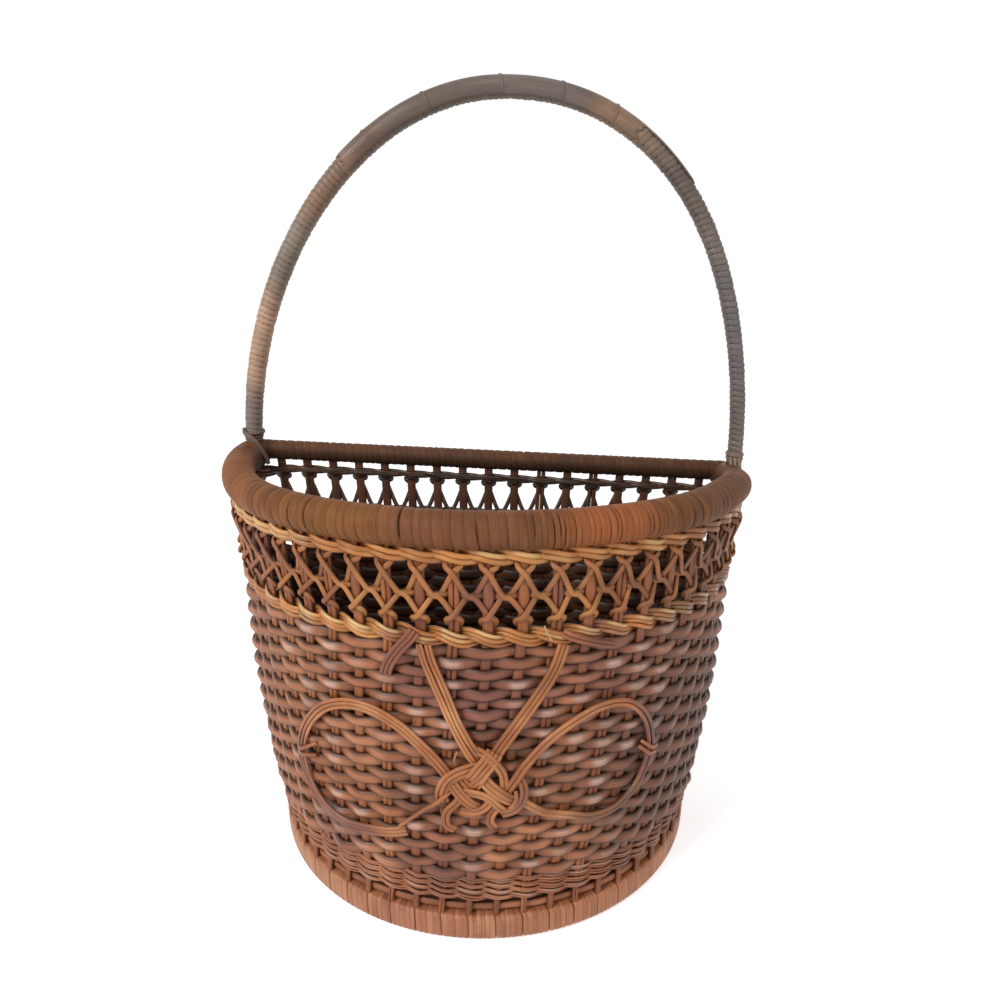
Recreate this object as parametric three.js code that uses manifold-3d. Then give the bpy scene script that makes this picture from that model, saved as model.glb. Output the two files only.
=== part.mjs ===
// Half-round wicker storage basket with a fixed arch handle.
// Millimetres, +Z up. The origin is on the floor, under the middle of the basket's outline.
// +X is to the right, -Y is the round front and +Y is the flat back.
import * as THREE from "three";
import { mergeVertices } from "three/addons/utils/BufferGeometryUtils.js";
import Module from "manifold-3d";

// Clearance between pieces that touch
const GAP = 0.3;

// Outline seen from above, over the wrappings
const RIM_WIDTH = 258;
const RIM_DEPTH = 135;
const FOOT_WIDTH = 213;
const FOOT_DEPTH = 126;
const CORNER_RADIUS = 8;
const BACK_INSET = 5.2; // back stakes' centre line, in from the outermost back face
const FOOT_INSET = 2.4; // stakes' centre line at the foot, in from the foot's outer face
const RIM_INSET = 5.8; // stakes' centre line at the rim, in from the rim's outer face

// Heights, from the floor up
const FOOT_HEIGHT = 12.2;
const FOOT_ROD_HEIGHT = 4;
const STAKE_FEET_HEIGHT = 5.5; // open gap over the foot rod, where the stakes show
const WEAVE_HEIGHT = 115.2;
const LOWER_TWINE_HEIGHT = 8;
const OPENWORK_HEIGHT = 25.8;
const UPPER_TWINE_HEIGHT = 5.8;

// Rim: a bent bow in front, a straight bar behind, and the wrapping over both
const RIM_RADIUS_FRONT = 6.9;
const RIM_RADIUS_BACK = 5;
const RIM_BLEND_START = 1.5; // plan positions between which the rim slims down
const RIM_BLEND_END = 2;
const BOW_RADIUS = 4.3;
const BACK_BAR_RADIUS = 3.1;
const BACK_BAR_REACH = 1.6; // how far the bar's ends reach into the corners

// Foot: a U-shaped wrapping over a hoop
const FOOT_THICKNESS = 7;
const FOOT_WRAP_WALL = 1.2;
const FOOT_CHAMFER = 1.8;
const FOOT_LIP = 2.4; // each side of the wrapping turned in over the hoop
const FOOT_ROD_THICKNESS = 4;

// Walls and strands, as full sizes
const COURSES = 26;
const WEAVER_THICKNESS = 2;
const WALL_BELLY = 2.2; // how far the woven wall swells between foot and rim
const LOWER_TWINE_THICKNESS = 7.8;
const UPPER_TWINE_THICKNESS = 7;
const FRONT_STAKES = 30; // corner stakes included
const BACK_STAKES = 17; // between the corner stakes
const STAKE_WIDTH = 3.4;
const STAKE_DEPTH = 2.4;
const STAKE_LEAN = 0.62; // share of a stake gap that the stakes' feet stand further left than their heads
const STRAND_DIAMETER = 1.6;
const STRAND_DIP = 2; // how far a cross strand dips where it passes under the other
const SHOULDER_REACH = 0.12; // share of a stake gap over which a cross strand turns
const SHOULDER_DROP = 1.5;
const STRAND_START = 0.3; // share of a gap past the left corner stake where the strands' ends meet
const STRAND_JOINT = 0.035; // share of a gap left open between those ends

// Base
const BASE_STICKS = 3;
const BASE_STICK_DIAMETER = 3.4;
const BASE_THICKNESS = 4.1;

// Handle: a core inside a wound sleeve, collars at its ends and a smooth strip on top
const HANDLE_HEIGHT = 357.7; // top of the arch, at the core's middle
const HANDLE_POWER = 2.07; // 2 is an ellipse, more is squarer
const HANDLE_LEAN = 5.5; // the arch leans this far to the right at its top
const HANDLE_CORE_RADIUS = 2.6;
const HANDLE_RADIUS_LEFT = 4.8;
const HANDLE_RADIUS_RIGHT = 3.8;
const COLLAR_HEIGHT = 9.6;
const COLLAR_RADIUS = 5.4;
const COLLAR_TURNS = 3;
const STRIP_WIDTH = 6;
const STRIP_THICKNESS = 1.4;
const STRIP_START = 0.29; // shares of the arch between which the strip lies
const STRIP_END = 0.73;

// Knot on the front: a plaited mat, two legs, two loops and their ties
const KNOT_X = 4.5;
const KNOT_Z = 76.5;
const KNOT_RADIUS = 10.6;
const KNOT_WAVE = 5.2;
const KNOT_LIFT = 2.1;
const KNOT_CANE = 1.5; // radius of the doubled cane
const KNOT_BIGHTS = 4;
const KNOT_TURNS = 3;
const LEG_WIDTH = 5.4;
const LEG_DEPTH = 2.4;
const LOOP_WIDTH = 3.2;
const LOOP_DEPTH = 2.4;
const TIE_DIAMETER = 1.2;
const TIE_SPAN = 3.6; // from the loop's middle to each end of its tie

// Routes on the front, as x and z, chosen by hand
const LEFT_LEG = [[-16.8, 136.9], [-12.6, 122], [-7, 107.5], [-1.4, 95.4]];
const RIGHT_LEG = [[35.4, 136.9], [30.4, 124], [22.8, 110], [13.6, 95.4]];
const LEFT_LOOP = [
  [-12.9, 85.4], [-18.5, 92], [-28.5, 100], [-40.2, 105.2], [-52.3, 105.5], [-64.9, 99.4],
  [-74.2, 86.2], [-77.5, 72.2], [-75.3, 58.6], [-68.1, 48.8], [-56.2, 44.2], [-43, 45.3], [-28.9, 48.3],
];
const RIGHT_LOOP = [
  [21.9, 85.8], [30.3, 94.7], [40.9, 102.1], [53, 107.1], [65.1, 106.2], [73.6, 96.5],
  [77.1, 83.3], [75.5, 72.2], [70.4, 61.4], [62, 54.3], [52.6, 51.6], [43.8, 53.2], [34.2, 59], [22.6, 67],
];
const LEFT_TIE_AT = 0.56; // share of the loop's length
const RIGHT_TIE_AT = 0.5;

// Facets
const FRONT_STEPS = 24;
const CORNER_STEPS = 3;
const HANDLE_STEPS = 24;
const HANDLE_SIDES = 8;
const RIM_SIDES = 12;
const CORE_SIDES = 8;
const TWINE_SIDES = 8;
const COLLAR_SIDES = 10;
const KNOT_STEPS = 60;
const KNOT_SIDES = 5;
const LOOP_STEPS = 22;

// Levels worked out from the heights
const footRodBottom = FOOT_HEIGHT + GAP;
const footRodTop = footRodBottom + FOOT_ROD_HEIGHT;
const weaveBottom = footRodTop + STAKE_FEET_HEIGHT;
const weaveTop = weaveBottom + WEAVE_HEIGHT;
const lowerTwineBottom = weaveTop + GAP;
const openworkBottom = lowerTwineBottom + LOWER_TWINE_HEIGHT;
const openworkTop = openworkBottom + OPENWORK_HEIGHT;
const upperTwineTop = openworkTop + UPPER_TWINE_HEIGHT;
const rimTop = upperTwineTop + GAP + 2 * RIM_RADIUS_FRONT;
const rimCentre = rimTop - RIM_RADIUS_FRONT;
const collarTop = rimTop + GAP + COLLAR_HEIGHT;
const backFace = RIM_DEPTH / 2;

// A weaver lies outside or inside each stake, so the wall is a stake and two weavers thick
const wallHalf = STAKE_DEPTH / 2 + WEAVER_THICKNESS;

// The basket's outline at one height, as the centre line of its stakes
const wallOutline = (z) => {
  const rise = (z - FOOT_HEIGHT / 2) / (rimCentre - FOOT_HEIGHT / 2);
  const inset = THREE.MathUtils.lerp(FOOT_INSET, RIM_INSET, rise);
  return {
    half: THREE.MathUtils.lerp(FOOT_WIDTH, RIM_WIDTH, rise) / 2 - inset,
    front: backFace - THREE.MathUtils.lerp(FOOT_DEPTH, RIM_DEPTH, rise) + inset,
    back: backFace - BACK_INSET,
    corner: CORNER_RADIUS,
  };
};
const rimOutline = {
  half: RIM_WIDTH / 2 - RIM_RADIUS_FRONT,
  front: backFace - RIM_DEPTH + RIM_RADIUS_FRONT,
  back: backFace - RIM_RADIUS_BACK,
  corner: CORNER_RADIUS,
};
const footOutline = {
  half: FOOT_WIDTH / 2 - FOOT_THICKNESS / 2,
  front: backFace - FOOT_DEPTH + FOOT_THICKNESS / 2,
  back: backFace - BACK_INSET,
  corner: CORNER_RADIUS,
};

// A point of an outline moved outwards by offset. Position 0 to 1 is the half-round front from left
// to right, 1 to 2 the right corner, 2 to 3 the flat back and 3 to 4 the left corner.
function planPoint(position, outline, offset = 0) {
  const p = THREE.MathUtils.euclideanModulo(position, 4);
  const half = outline.half + offset;
  const corner = outline.corner + offset;
  const middle = outline.back - outline.corner;
  const flat = half - corner;
  if (p < 1) {
    const depth = middle - outline.front + offset;
    return [-half * Math.cos(Math.PI * p), middle - depth * Math.sin(Math.PI * p)];
  }
  const turn = (p % 1) * (Math.PI / 2);
  if (p < 2) return [flat + corner * Math.cos(turn), middle + corner * Math.sin(turn)];
  if (p < 3) return [flat * (1 - 2 * (p - 2)), middle + corner];
  return [-flat - corner * Math.sin(turn), middle + corner * Math.cos(turn)];
}

// A point on the wall: plan position, height and distance outwards from the stakes' centre line
function wallPoint(position, z, offset) {
  return new THREE.Vector3(...planPoint(position, wallOutline(z), offset), z);
}

function outwardAt(position, z) {
  return wallPoint(position, z, 1).sub(wallPoint(position, z, 0)).normalize();
}

// Facet positions round an outline
const ringPositions = [];
for (let i = 0; i < FRONT_STEPS; i++) ringPositions.push(i / FRONT_STEPS);
for (let i = 0; i < CORNER_STEPS; i++) ringPositions.push(1 + i / CORNER_STEPS);
ringPositions.push(2);
for (let i = 0; i < CORNER_STEPS; i++) ringPositions.push(3 + i / CORNER_STEPS);

// Lengths along the wall at the middle of the openwork, starting from the left corner stake
const LEFT_CORNER = -0.5;
const RIGHT_CORNER = 1.5;
const GIRTH_STEPS = 2000;
const girth = [0];
const girthPosition = (step) => LEFT_CORNER + (4 * step) / GIRTH_STEPS;
for (let step = 1; step <= GIRTH_STEPS; step++) {
  const z = (openworkBottom + openworkTop) / 2;
  const chord = wallPoint(girthPosition(step), z, 0).distanceTo(wallPoint(girthPosition(step - 1), z, 0));
  girth.push(girth[step - 1] + chord);
}
const wholeGirth = girth[GIRTH_STEPS];
const frontGirth = girth[((RIGHT_CORNER - LEFT_CORNER) / 4) * GIRTH_STEPS];
const lastFront = FRONT_STAKES - 1;
const lastStake = lastFront + BACK_STAKES + 1; // the left corner stake again
const frontPitch = frontGirth / lastFront;
const backPitch = (wholeGirth - frontGirth) / (BACK_STAKES + 1);

// Plan position of a place counted in stakes: 3.5 is halfway from stake 3 to stake 4. Stake 0 stands
// in the left corner, the front follows, and the back runs on from the right corner.
function betweenStakes(place) {
  let length = place * (place < 0 ? backPitch : frontPitch);
  if (place > lastFront) length = frontGirth + (place - lastFront) * backPitch;
  length = THREE.MathUtils.euclideanModulo(length, wholeGirth);
  let low = 0;
  let high = GIRTH_STEPS;
  while (high - low > 1) {
    const middle = Math.floor((low + high) / 2);
    if (girth[middle] <= length) low = middle;
    else high = middle;
  }
  return girthPosition(low + (length - girth[low]) / (girth[high] - girth[low]));
}

// The stakes stand upright in the openwork and lean a little from there down to the foot
function leaning(place, z) {
  const down = (openworkBottom - z) / (openworkBottom - FOOT_HEIGHT);
  return place - STAKE_LEAN * THREE.MathUtils.clamp(down, 0, 1);
}

// Rings of points joined into one closed surface. Without caps the last ring meets the first.
function surface(rings, capped) {
  const sides = rings[0].length;
  const index = [];
  const rows = capped ? rings.length - 1 : rings.length;
  for (let i = 0; i < rows; i++) {
    for (let j = 0; j < sides; j++) {
      const a = i * sides + j;
      const b = i * sides + ((j + 1) % sides);
      const c = ((i + 1) % rings.length) * sides + ((j + 1) % sides);
      const d = ((i + 1) % rings.length) * sides + j;
      index.push(a, b, c, a, c, d);
    }
  }
  if (capped) {
    const last = (rings.length - 1) * sides;
    for (let j = 1; j < sides - 1; j++) {
      index.push(0, j + 1, j);
      index.push(last, last + j, last + j + 1);
    }
  }
  const points = rings.flat();
  let volume = 0;
  for (let i = 0; i < index.length; i += 3) {
    const [p, q, r] = [points[index[i]], points[index[i + 1]], points[index[i + 2]]];
    volume += p.dot(new THREE.Vector3().crossVectors(q, r));
  }
  if (volume < 0) index.reverse();
  const geometry = new THREE.BufferGeometry().setFromPoints(points);
  geometry.setIndex(index);
  return geometry;
}

// Section of a strand: an oval with the given full width and depth
function oval(sides, width, depth) {
  const points = [];
  for (let i = 0; i < sides; i++) {
    const angle = (2 * Math.PI * (i + 0.5)) / sides;
    const reach = 1 / Math.cos(Math.PI / sides);
    points.push([(reach * depth * Math.cos(angle)) / 2, (reach * width * Math.sin(angle)) / 2]);
  }
  return points;
}

// Rings of a section carried along points. The section's first number runs along outward.
function sweepRings(points, outward, sectionAt, closed) {
  const count = points.length;
  return points.map((point, i) => {
    const before = points[closed ? (i - 1 + count) % count : Math.max(i - 1, 0)];
    const after = points[closed ? (i + 1) % count : Math.min(i + 1, count - 1)];
    const along = after.clone().sub(before).normalize();
    const out = outward[i].clone().addScaledVector(along, -along.dot(outward[i])).normalize();
    const side = new THREE.Vector3().crossVectors(along, out);
    return sectionAt(i).map(([u, v]) => point.clone().addScaledVector(out, u).addScaledVector(side, v));
  });
}

function strand(points, outward, section) {
  return surface(sweepRings(points, outward, () => section, false), true);
}

// A hoop on an outline: profileAt gives points as distance outwards and height
function hoop(outlineAt, profileAt) {
  const rings = ringPositions.map((position) =>
    profileAt(position).map(([out, z]) => new THREE.Vector3(...planPoint(position, outlineAt(z), out), z)),
  );
  return surface(rings, false);
}

// Solids for joining and cutting
const wasm = await Module();
wasm.setup();

function solid(geometry) {
  const bare = geometry.clone();
  bare.deleteAttribute("normal");
  bare.deleteAttribute("uv");
  const merged = mergeVertices(bare);
  return new wasm.Manifold(
    new wasm.Mesh({
      numProp: 3,
      vertProperties: new Float32Array(merged.attributes.position.array),
      triVerts: new Uint32Array(merged.index.array),
    }),
  );
}

function geometryOf(manifold) {
  const { vertProperties, triVerts } = manifold.getMesh();
  const geometry = new THREE.BufferGeometry();
  geometry.setAttribute("position", new THREE.BufferAttribute(vertProperties, 3));
  geometry.setIndex(new THREE.BufferAttribute(triVerts, 1));
  return geometry;
}

function joined(geometries) {
  return geometries.map(solid).reduce((sum, next) => sum.add(next));
}

const basket = new THREE.Group();

function add(name, geometry, material) {
  geometry.computeVertexNormals();
  const mesh = new THREE.Mesh(geometry, material);
  mesh.name = name;
  basket.add(mesh);
}

const cane = (color, roughness = 0.6) => new THREE.MeshStandardMaterial({ color, roughness, metalness: 0 });
const materials = {
  weave: cane(0x966950),
  stake: cane(0x8a5a3a),
  strand: cane(0x9a6b42),
  twine: cane(0xc8964f, 0.5),
  rimWrap: cane(0xa5785a, 0.5),
  footWrap: cane(0xcd9b73, 0.5),
  handleWrap: cane(0x6e645f, 0.55),
  handleStrip: cane(0x5d4a3c, 0.45),
  knot: cane(0xbe8755, 0.45),
  core: cane(0xb98f62, 0.7),
};

// Rim: the radius stays full in front and round the corners, and slims down along the back
function rimRadius(position, front, back) {
  const p = THREE.MathUtils.euclideanModulo(position, 4);
  const behind = p < 1 ? 0 : Math.min(p, 5 - p);
  const share = (behind - RIM_BLEND_START) / (RIM_BLEND_END - RIM_BLEND_START);
  return THREE.MathUtils.lerp(front, back, THREE.MathUtils.clamp(share, 0, 1));
}

function rimProfile(position, sides, front, back) {
  const radius = rimRadius(position, front, back);
  const height = rimTop - rimRadius(position, RIM_RADIUS_FRONT, RIM_RADIUS_BACK);
  return oval(sides, 2 * radius, 2 * radius).map(([u, v]) => [u, height + v]);
}

// Handle legs: they go down through the rim wrapping right behind the ends of the bow
const legHole = HANDLE_CORE_RADIUS / Math.cos(Math.PI / CORE_SIDES) + GAP;
const legTurn = Math.asin(legHole / CORNER_RADIUS);
const legX = rimOutline.half - CORNER_RADIUS + CORNER_RADIUS * Math.cos(legTurn);
const legY = rimOutline.back - CORNER_RADIUS + legHole;

function makeRim() {
  const bowPositions = [];
  for (let i = 0; i <= FRONT_STEPS; i++) bowPositions.push(i / FRONT_STEPS);
  const bow = bowPositions.map((p) => {
    const point = planPoint(Math.min(p, 1 - 1e-9), rimOutline);
    return new THREE.Vector3(...point, rimCentre);
  });
  const up = bow.map(() => new THREE.Vector3(0, 0, 1));
  add("rim_bow", strand(bow, up, oval(CORE_SIDES, 2 * BOW_RADIUS, 2 * BOW_RADIUS)), materials.core);

  const barReach = rimOutline.half - CORNER_RADIUS + BACK_BAR_REACH;
  const bar = new THREE.CylinderGeometry(BACK_BAR_RADIUS, BACK_BAR_RADIUS, 2 * barReach, 8);
  bar.rotateZ(Math.PI / 2);
  bar.translate(0, rimOutline.back, rimTop - RIM_RADIUS_BACK);
  add("rim_back_bar", bar, materials.core);

  const outsideAt = (p) => rimProfile(p, RIM_SIDES, RIM_RADIUS_FRONT, RIM_RADIUS_BACK);
  const boreAt = (p) => rimProfile(p, CORE_SIDES, BOW_RADIUS + GAP, BACK_BAR_RADIUS + GAP);
  const outside = hoop(() => rimOutline, outsideAt);
  const bore = hoop(() => rimOutline, boreAt);
  let wrap = solid(outside).subtract(solid(bore));
  for (const side of [-1, 1]) {
    const radius = legHole / Math.cos(Math.PI / 12);
    const hole = new THREE.CylinderGeometry(radius, radius, 2 * RIM_RADIUS_FRONT, 12);
    hole.rotateX(Math.PI / 2);
    hole.translate(side * legX, legY, rimTop);
    wrap = wrap.subtract(solid(hole));
  }
  add("rim_wrap", geometryOf(wrap), materials.rimWrap);
}

// Twines: hoops with rounded edges. The lower one holds the back stakes, and the upper one their heads,
// which reach up to the slim back rim.
function roundedProfile(thickness, bottom, top) {
  const middle = (bottom + top) / 2;
  return oval(TWINE_SIDES, top - bottom, thickness).map(([u, v]) => [u, middle + v]);
}

function post(position, bottom, top) {
  const rings = [bottom, top].map((z) => {
    const out = outwardAt(position, z);
    const side = new THREE.Vector3(-out.y, out.x, 0);
    const centre = wallPoint(position, z, 0);
    const [w, d] = [STAKE_WIDTH / 2, STAKE_DEPTH / 2];
    return [[0, w], [d, w / 2], [d, -w / 2], [0, -w], [-d, -w / 2], [-d, w / 2]].map(([u, v]) =>
      centre.clone().addScaledVector(out, u).addScaledVector(side, v),
    );
  });
  return surface(rings, true);
}

function makeTwines() {
  const lower = roundedProfile(LOWER_TWINE_THICKNESS, lowerTwineBottom, openworkBottom);
  const lowerPieces = [hoop(wallOutline, () => lower)];
  const upper = roundedProfile(UPPER_TWINE_THICKNESS, openworkTop, upperTwineTop);
  const headBottom = upperTwineTop - UPPER_TWINE_HEIGHT / 2;
  const headTop = rimTop - 2 * RIM_RADIUS_BACK - GAP;
  const stakeBottom = openworkBottom - LOWER_TWINE_HEIGHT / 2;
  const upperPieces = [hoop(wallOutline, () => upper)];
  for (let i = lastFront + 1; i < lastStake; i++) {
    const position = betweenStakes(i);
    lowerPieces.push(post(position, stakeBottom, openworkTop - GAP));
    upperPieces.push(post(position, headBottom, headTop));
  }
  add("lower_twine", geometryOf(joined(lowerPieces)), materials.twine);
  add("upper_twine", geometryOf(joined(upperPieces)), materials.twine);
}

// Openwork: upright stakes, a level strand inside them, and two zigzags outside that cross in each gap
const strandOffset = (STAKE_DEPTH + STRAND_DIAMETER) / 2 + GAP;
const strandTop = openworkTop - GAP - STRAND_DIAMETER;
const strandBottom = openworkBottom + GAP + STRAND_DIAMETER;

function zigzagPoint(place, phase) {
  const gap = Math.floor(place);
  const share = place - gap;
  const falls = (gap + phase) % 2 === 0;
  const down = falls ? share : 1 - share;
  const nearStake = Math.min(share, 1 - share);
  const shoulder = Math.min(nearStake / SHOULDER_REACH, 1);
  const crossing = Math.max(0, nearStake - SHOULDER_REACH) / (0.5 - SHOULDER_REACH);
  const edge = down < 0.5 ? strandTop - SHOULDER_DROP * shoulder : strandBottom + SHOULDER_DROP * shoulder;
  const z = THREE.MathUtils.lerp(edge, (strandTop + strandBottom) / 2, crossing);
  return { place, z, offset: strandOffset - (falls ? 0 : STRAND_DIP) * crossing };
}

function alongStakes(from, to, shares, pointAt) {
  const places = [from];
  for (let gap = Math.floor(from); gap <= Math.floor(to); gap++) {
    for (const share of shares) {
      const place = gap + share;
      if (place > from + 0.05 && place < to - 0.05) places.push(place);
    }
  }
  places.push(to);
  const spots = places.map(pointAt);
  return {
    points: spots.map((s) => wallPoint(betweenStakes(s.place), s.z, s.offset)),
    outward: spots.map((s) => outwardAt(betweenStakes(s.place), s.z)),
  };
}

function roundTheBasket(shares, pointAt) {
  const from = STRAND_JOINT - STRAND_START;
  const to = lastStake - STRAND_START;
  const { points, outward } = alongStakes(from, to, shares, pointAt);
  return strand(points, outward, oval(4, STRAND_DIAMETER, STRAND_DIAMETER));
}

function makeOpenwork() {
  for (let i = 0; i < FRONT_STAKES; i++) {
    const name = "front_stake_" + String(i + 1).padStart(2, "0");
    add(name, post(betweenStakes(i), openworkBottom + GAP, openworkTop - GAP), materials.stake);
  }
  const middle = (strandTop + strandBottom) / 2;
  const level = roundTheBasket([0], (place) => ({ place, z: middle, offset: -strandOffset }));
  add("mid_strand", level, materials.strand);
  const turns = [0, SHOULDER_REACH, 0.5, 1 - SHOULDER_REACH];
  add("cross_strand_a", roundTheBasket(turns, (place) => zigzagPoint(place, 0)), materials.strand);
  add("cross_strand_b", roundTheBasket(turns, (place) => zigzagPoint(place, 1)), materials.strand);
}

// How far the woven wall swells outwards at a height
function bellyAt(z) {
  return WALL_BELLY * (1 - ((2 * z - weaveBottom - weaveTop) / WEAVE_HEIGHT) ** 2);
}

// Outer face of a course: over every second stake, under the others, and crossing halfway between two.
// The number of stakes is odd, so the weaver climbs one course as it comes back to the corner stake.
function courseFace(course, halfGaps) {
  if (halfGaps % 2 === 1) return WEAVER_THICKNESS / 2;
  return (course + halfGaps / 2) % 2 === 0 ? wallHalf : STAKE_DEPTH / 2;
}

// Woven wall: open below and above, with the stakes' feet standing on the foot rod
function makeBody() {
  const pitch = WEAVE_HEIGHT / COURSES;
  const columns = [];
  for (let halfGaps = 0; halfGaps < 2 * lastStake; halfGaps++) {
    const outside = [[courseFace(0, halfGaps), weaveBottom]];
    for (let course = 0; course < COURSES; course++) {
      outside.push([courseFace(course, halfGaps), weaveBottom + (course + 0.5) * pitch]);
    }
    outside.push([courseFace(COURSES - 1, halfGaps), weaveTop]);
    const inside = [weaveTop, (weaveBottom + weaveTop) / 2, weaveBottom].map((z) => [-wallHalf, z]);
    const column = [...outside, ...inside].map(([out, z]) =>
      wallPoint(betweenStakes(leaning(halfGaps / 2, z)), z, out + bellyAt(z)),
    );
    columns.push(column);
  }
  const pieces = [surface(columns, false)];
  const footing = weaveBottom + STAKE_FEET_HEIGHT / 2;
  for (let i = 0; i < lastStake; i++) {
    pieces.push(post(betweenStakes(leaning(i, weaveBottom)), footRodTop + GAP, footing));
  }
  add("woven_body", geometryOf(joined(pieces)), materials.weave);
}

// Base: a woven panel just inside the stakes' feet, with stiff sticks under it
function makeBase() {
  const panelTop = weaveBottom - GAP;
  const inset = -STAKE_DEPTH / 2 - GAP;
  const outline = wallOutline(panelTop - BASE_THICKNESS);
  const rings = [panelTop - BASE_THICKNESS, panelTop].map((z) =>
    ringPositions.map((position) => new THREE.Vector3(...planPoint(position, outline, inset), z)),
  );
  add("base_panel", surface(rings, true), materials.weave);

  const radius = BASE_STICK_DIAMETER / 2;
  const z = panelTop - BASE_THICKNESS - GAP - radius;
  const middle = outline.back - outline.corner;
  const depth = middle - outline.front;
  const sag = outline.half * (1 - Math.cos(Math.PI / FRONT_STEPS / 2));
  const inside = FOOT_ROD_THICKNESS / 2 / Math.cos(Math.PI / 8) + sag + GAP;
  for (let i = 0; i < BASE_STICKS; i++) {
    const y = middle - (depth * (i + 0.5)) / BASE_STICKS;
    const yOut = middle - y + radius;
    const reach = (outline.half - inside) * Math.sqrt(1 - (yOut / (depth - inside)) ** 2) - GAP;
    const stick = new THREE.CylinderGeometry(radius, radius, 2 * reach, 8);
    stick.rotateZ(Math.PI / 2);
    stick.translate(0, y, z);
    add("base_stick_" + (i + 1), stick, materials.core);
  }
}

// Foot: the hoop's core in a wrapping whose lips turn in over it, and the rod that the stakes stand on
function makeFoot() {
  const half = FOOT_THICKNESS / 2;
  const inner = half - FOOT_WRAP_WALL;
  const lip = half - FOOT_LIP;
  const wrap = [
    [-half + FOOT_CHAMFER, 0], [half - FOOT_CHAMFER, 0], [half, FOOT_CHAMFER],
    [half, FOOT_HEIGHT - FOOT_CHAMFER], [half - FOOT_CHAMFER + GAP, FOOT_HEIGHT], [lip, FOOT_HEIGHT],
    [inner, FOOT_HEIGHT - FOOT_CHAMFER], [inner, FOOT_WRAP_WALL], [-inner, FOOT_WRAP_WALL],
    [-inner, FOOT_HEIGHT - FOOT_CHAMFER], [-lip, FOOT_HEIGHT], [-half + FOOT_CHAMFER - GAP, FOOT_HEIGHT],
    [-half, FOOT_HEIGHT - FOOT_CHAMFER], [-half, FOOT_CHAMFER],
  ];
  add("foot_wrap", hoop(() => footOutline, () => wrap), materials.footWrap);

  const coreHalf = inner - GAP;
  const coreTop = FOOT_HEIGHT - FOOT_CHAMFER - GAP;
  const core = [
    [-coreHalf, FOOT_WRAP_WALL + GAP], [coreHalf, FOOT_WRAP_WALL + GAP], [coreHalf, coreTop],
    [lip, FOOT_HEIGHT - GAP], [-lip, FOOT_HEIGHT - GAP], [-coreHalf, coreTop],
  ].map(([out, z]) => [THREE.MathUtils.clamp(out, -coreHalf, coreHalf), z]);
  add("foot_hoop", hoop(() => footOutline, () => core), materials.core);

  const rod = roundedProfile(FOOT_ROD_THICKNESS, footRodBottom, footRodTop);
  add("foot_rod", hoop(wallOutline, () => rod), materials.footWrap);
}

// Handle: legs straight through the rim and the collars, then an arch that leans a little to the right
function handlePoint(share) {
  const angle = Math.PI * share;
  const [c, s] = [Math.cos(angle), Math.sin(angle)];
  const height = (HANDLE_HEIGHT - collarTop) * Math.pow(s, 2 / HANDLE_POWER);
  const lean = (HANDLE_LEAN * height) / (HANDLE_HEIGHT - collarTop);
  const x = -legX * Math.sign(c) * Math.pow(Math.abs(c), 2 / HANDLE_POWER) + lean;
  return new THREE.Vector3(x, legY, collarTop + height);
}

function handleStations(from, to, steps) {
  const stations = [];
  for (let i = 0; i <= steps; i++) stations.push(from + ((to - from) * i) / steps);
  return stations;
}

const handleRadius = (share) => THREE.MathUtils.lerp(HANDLE_RADIUS_LEFT, HANDLE_RADIUS_RIGHT, share);
const handleFront = new THREE.Vector3(0, -1, 0);

function handleRings(shares, points, sides, radiusAt) {
  const outward = points.map(() => handleFront);
  return sweepRings(points, outward, (i) => oval(sides, 2 * radiusAt(shares[i]), 2 * radiusAt(shares[i])));
}

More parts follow.
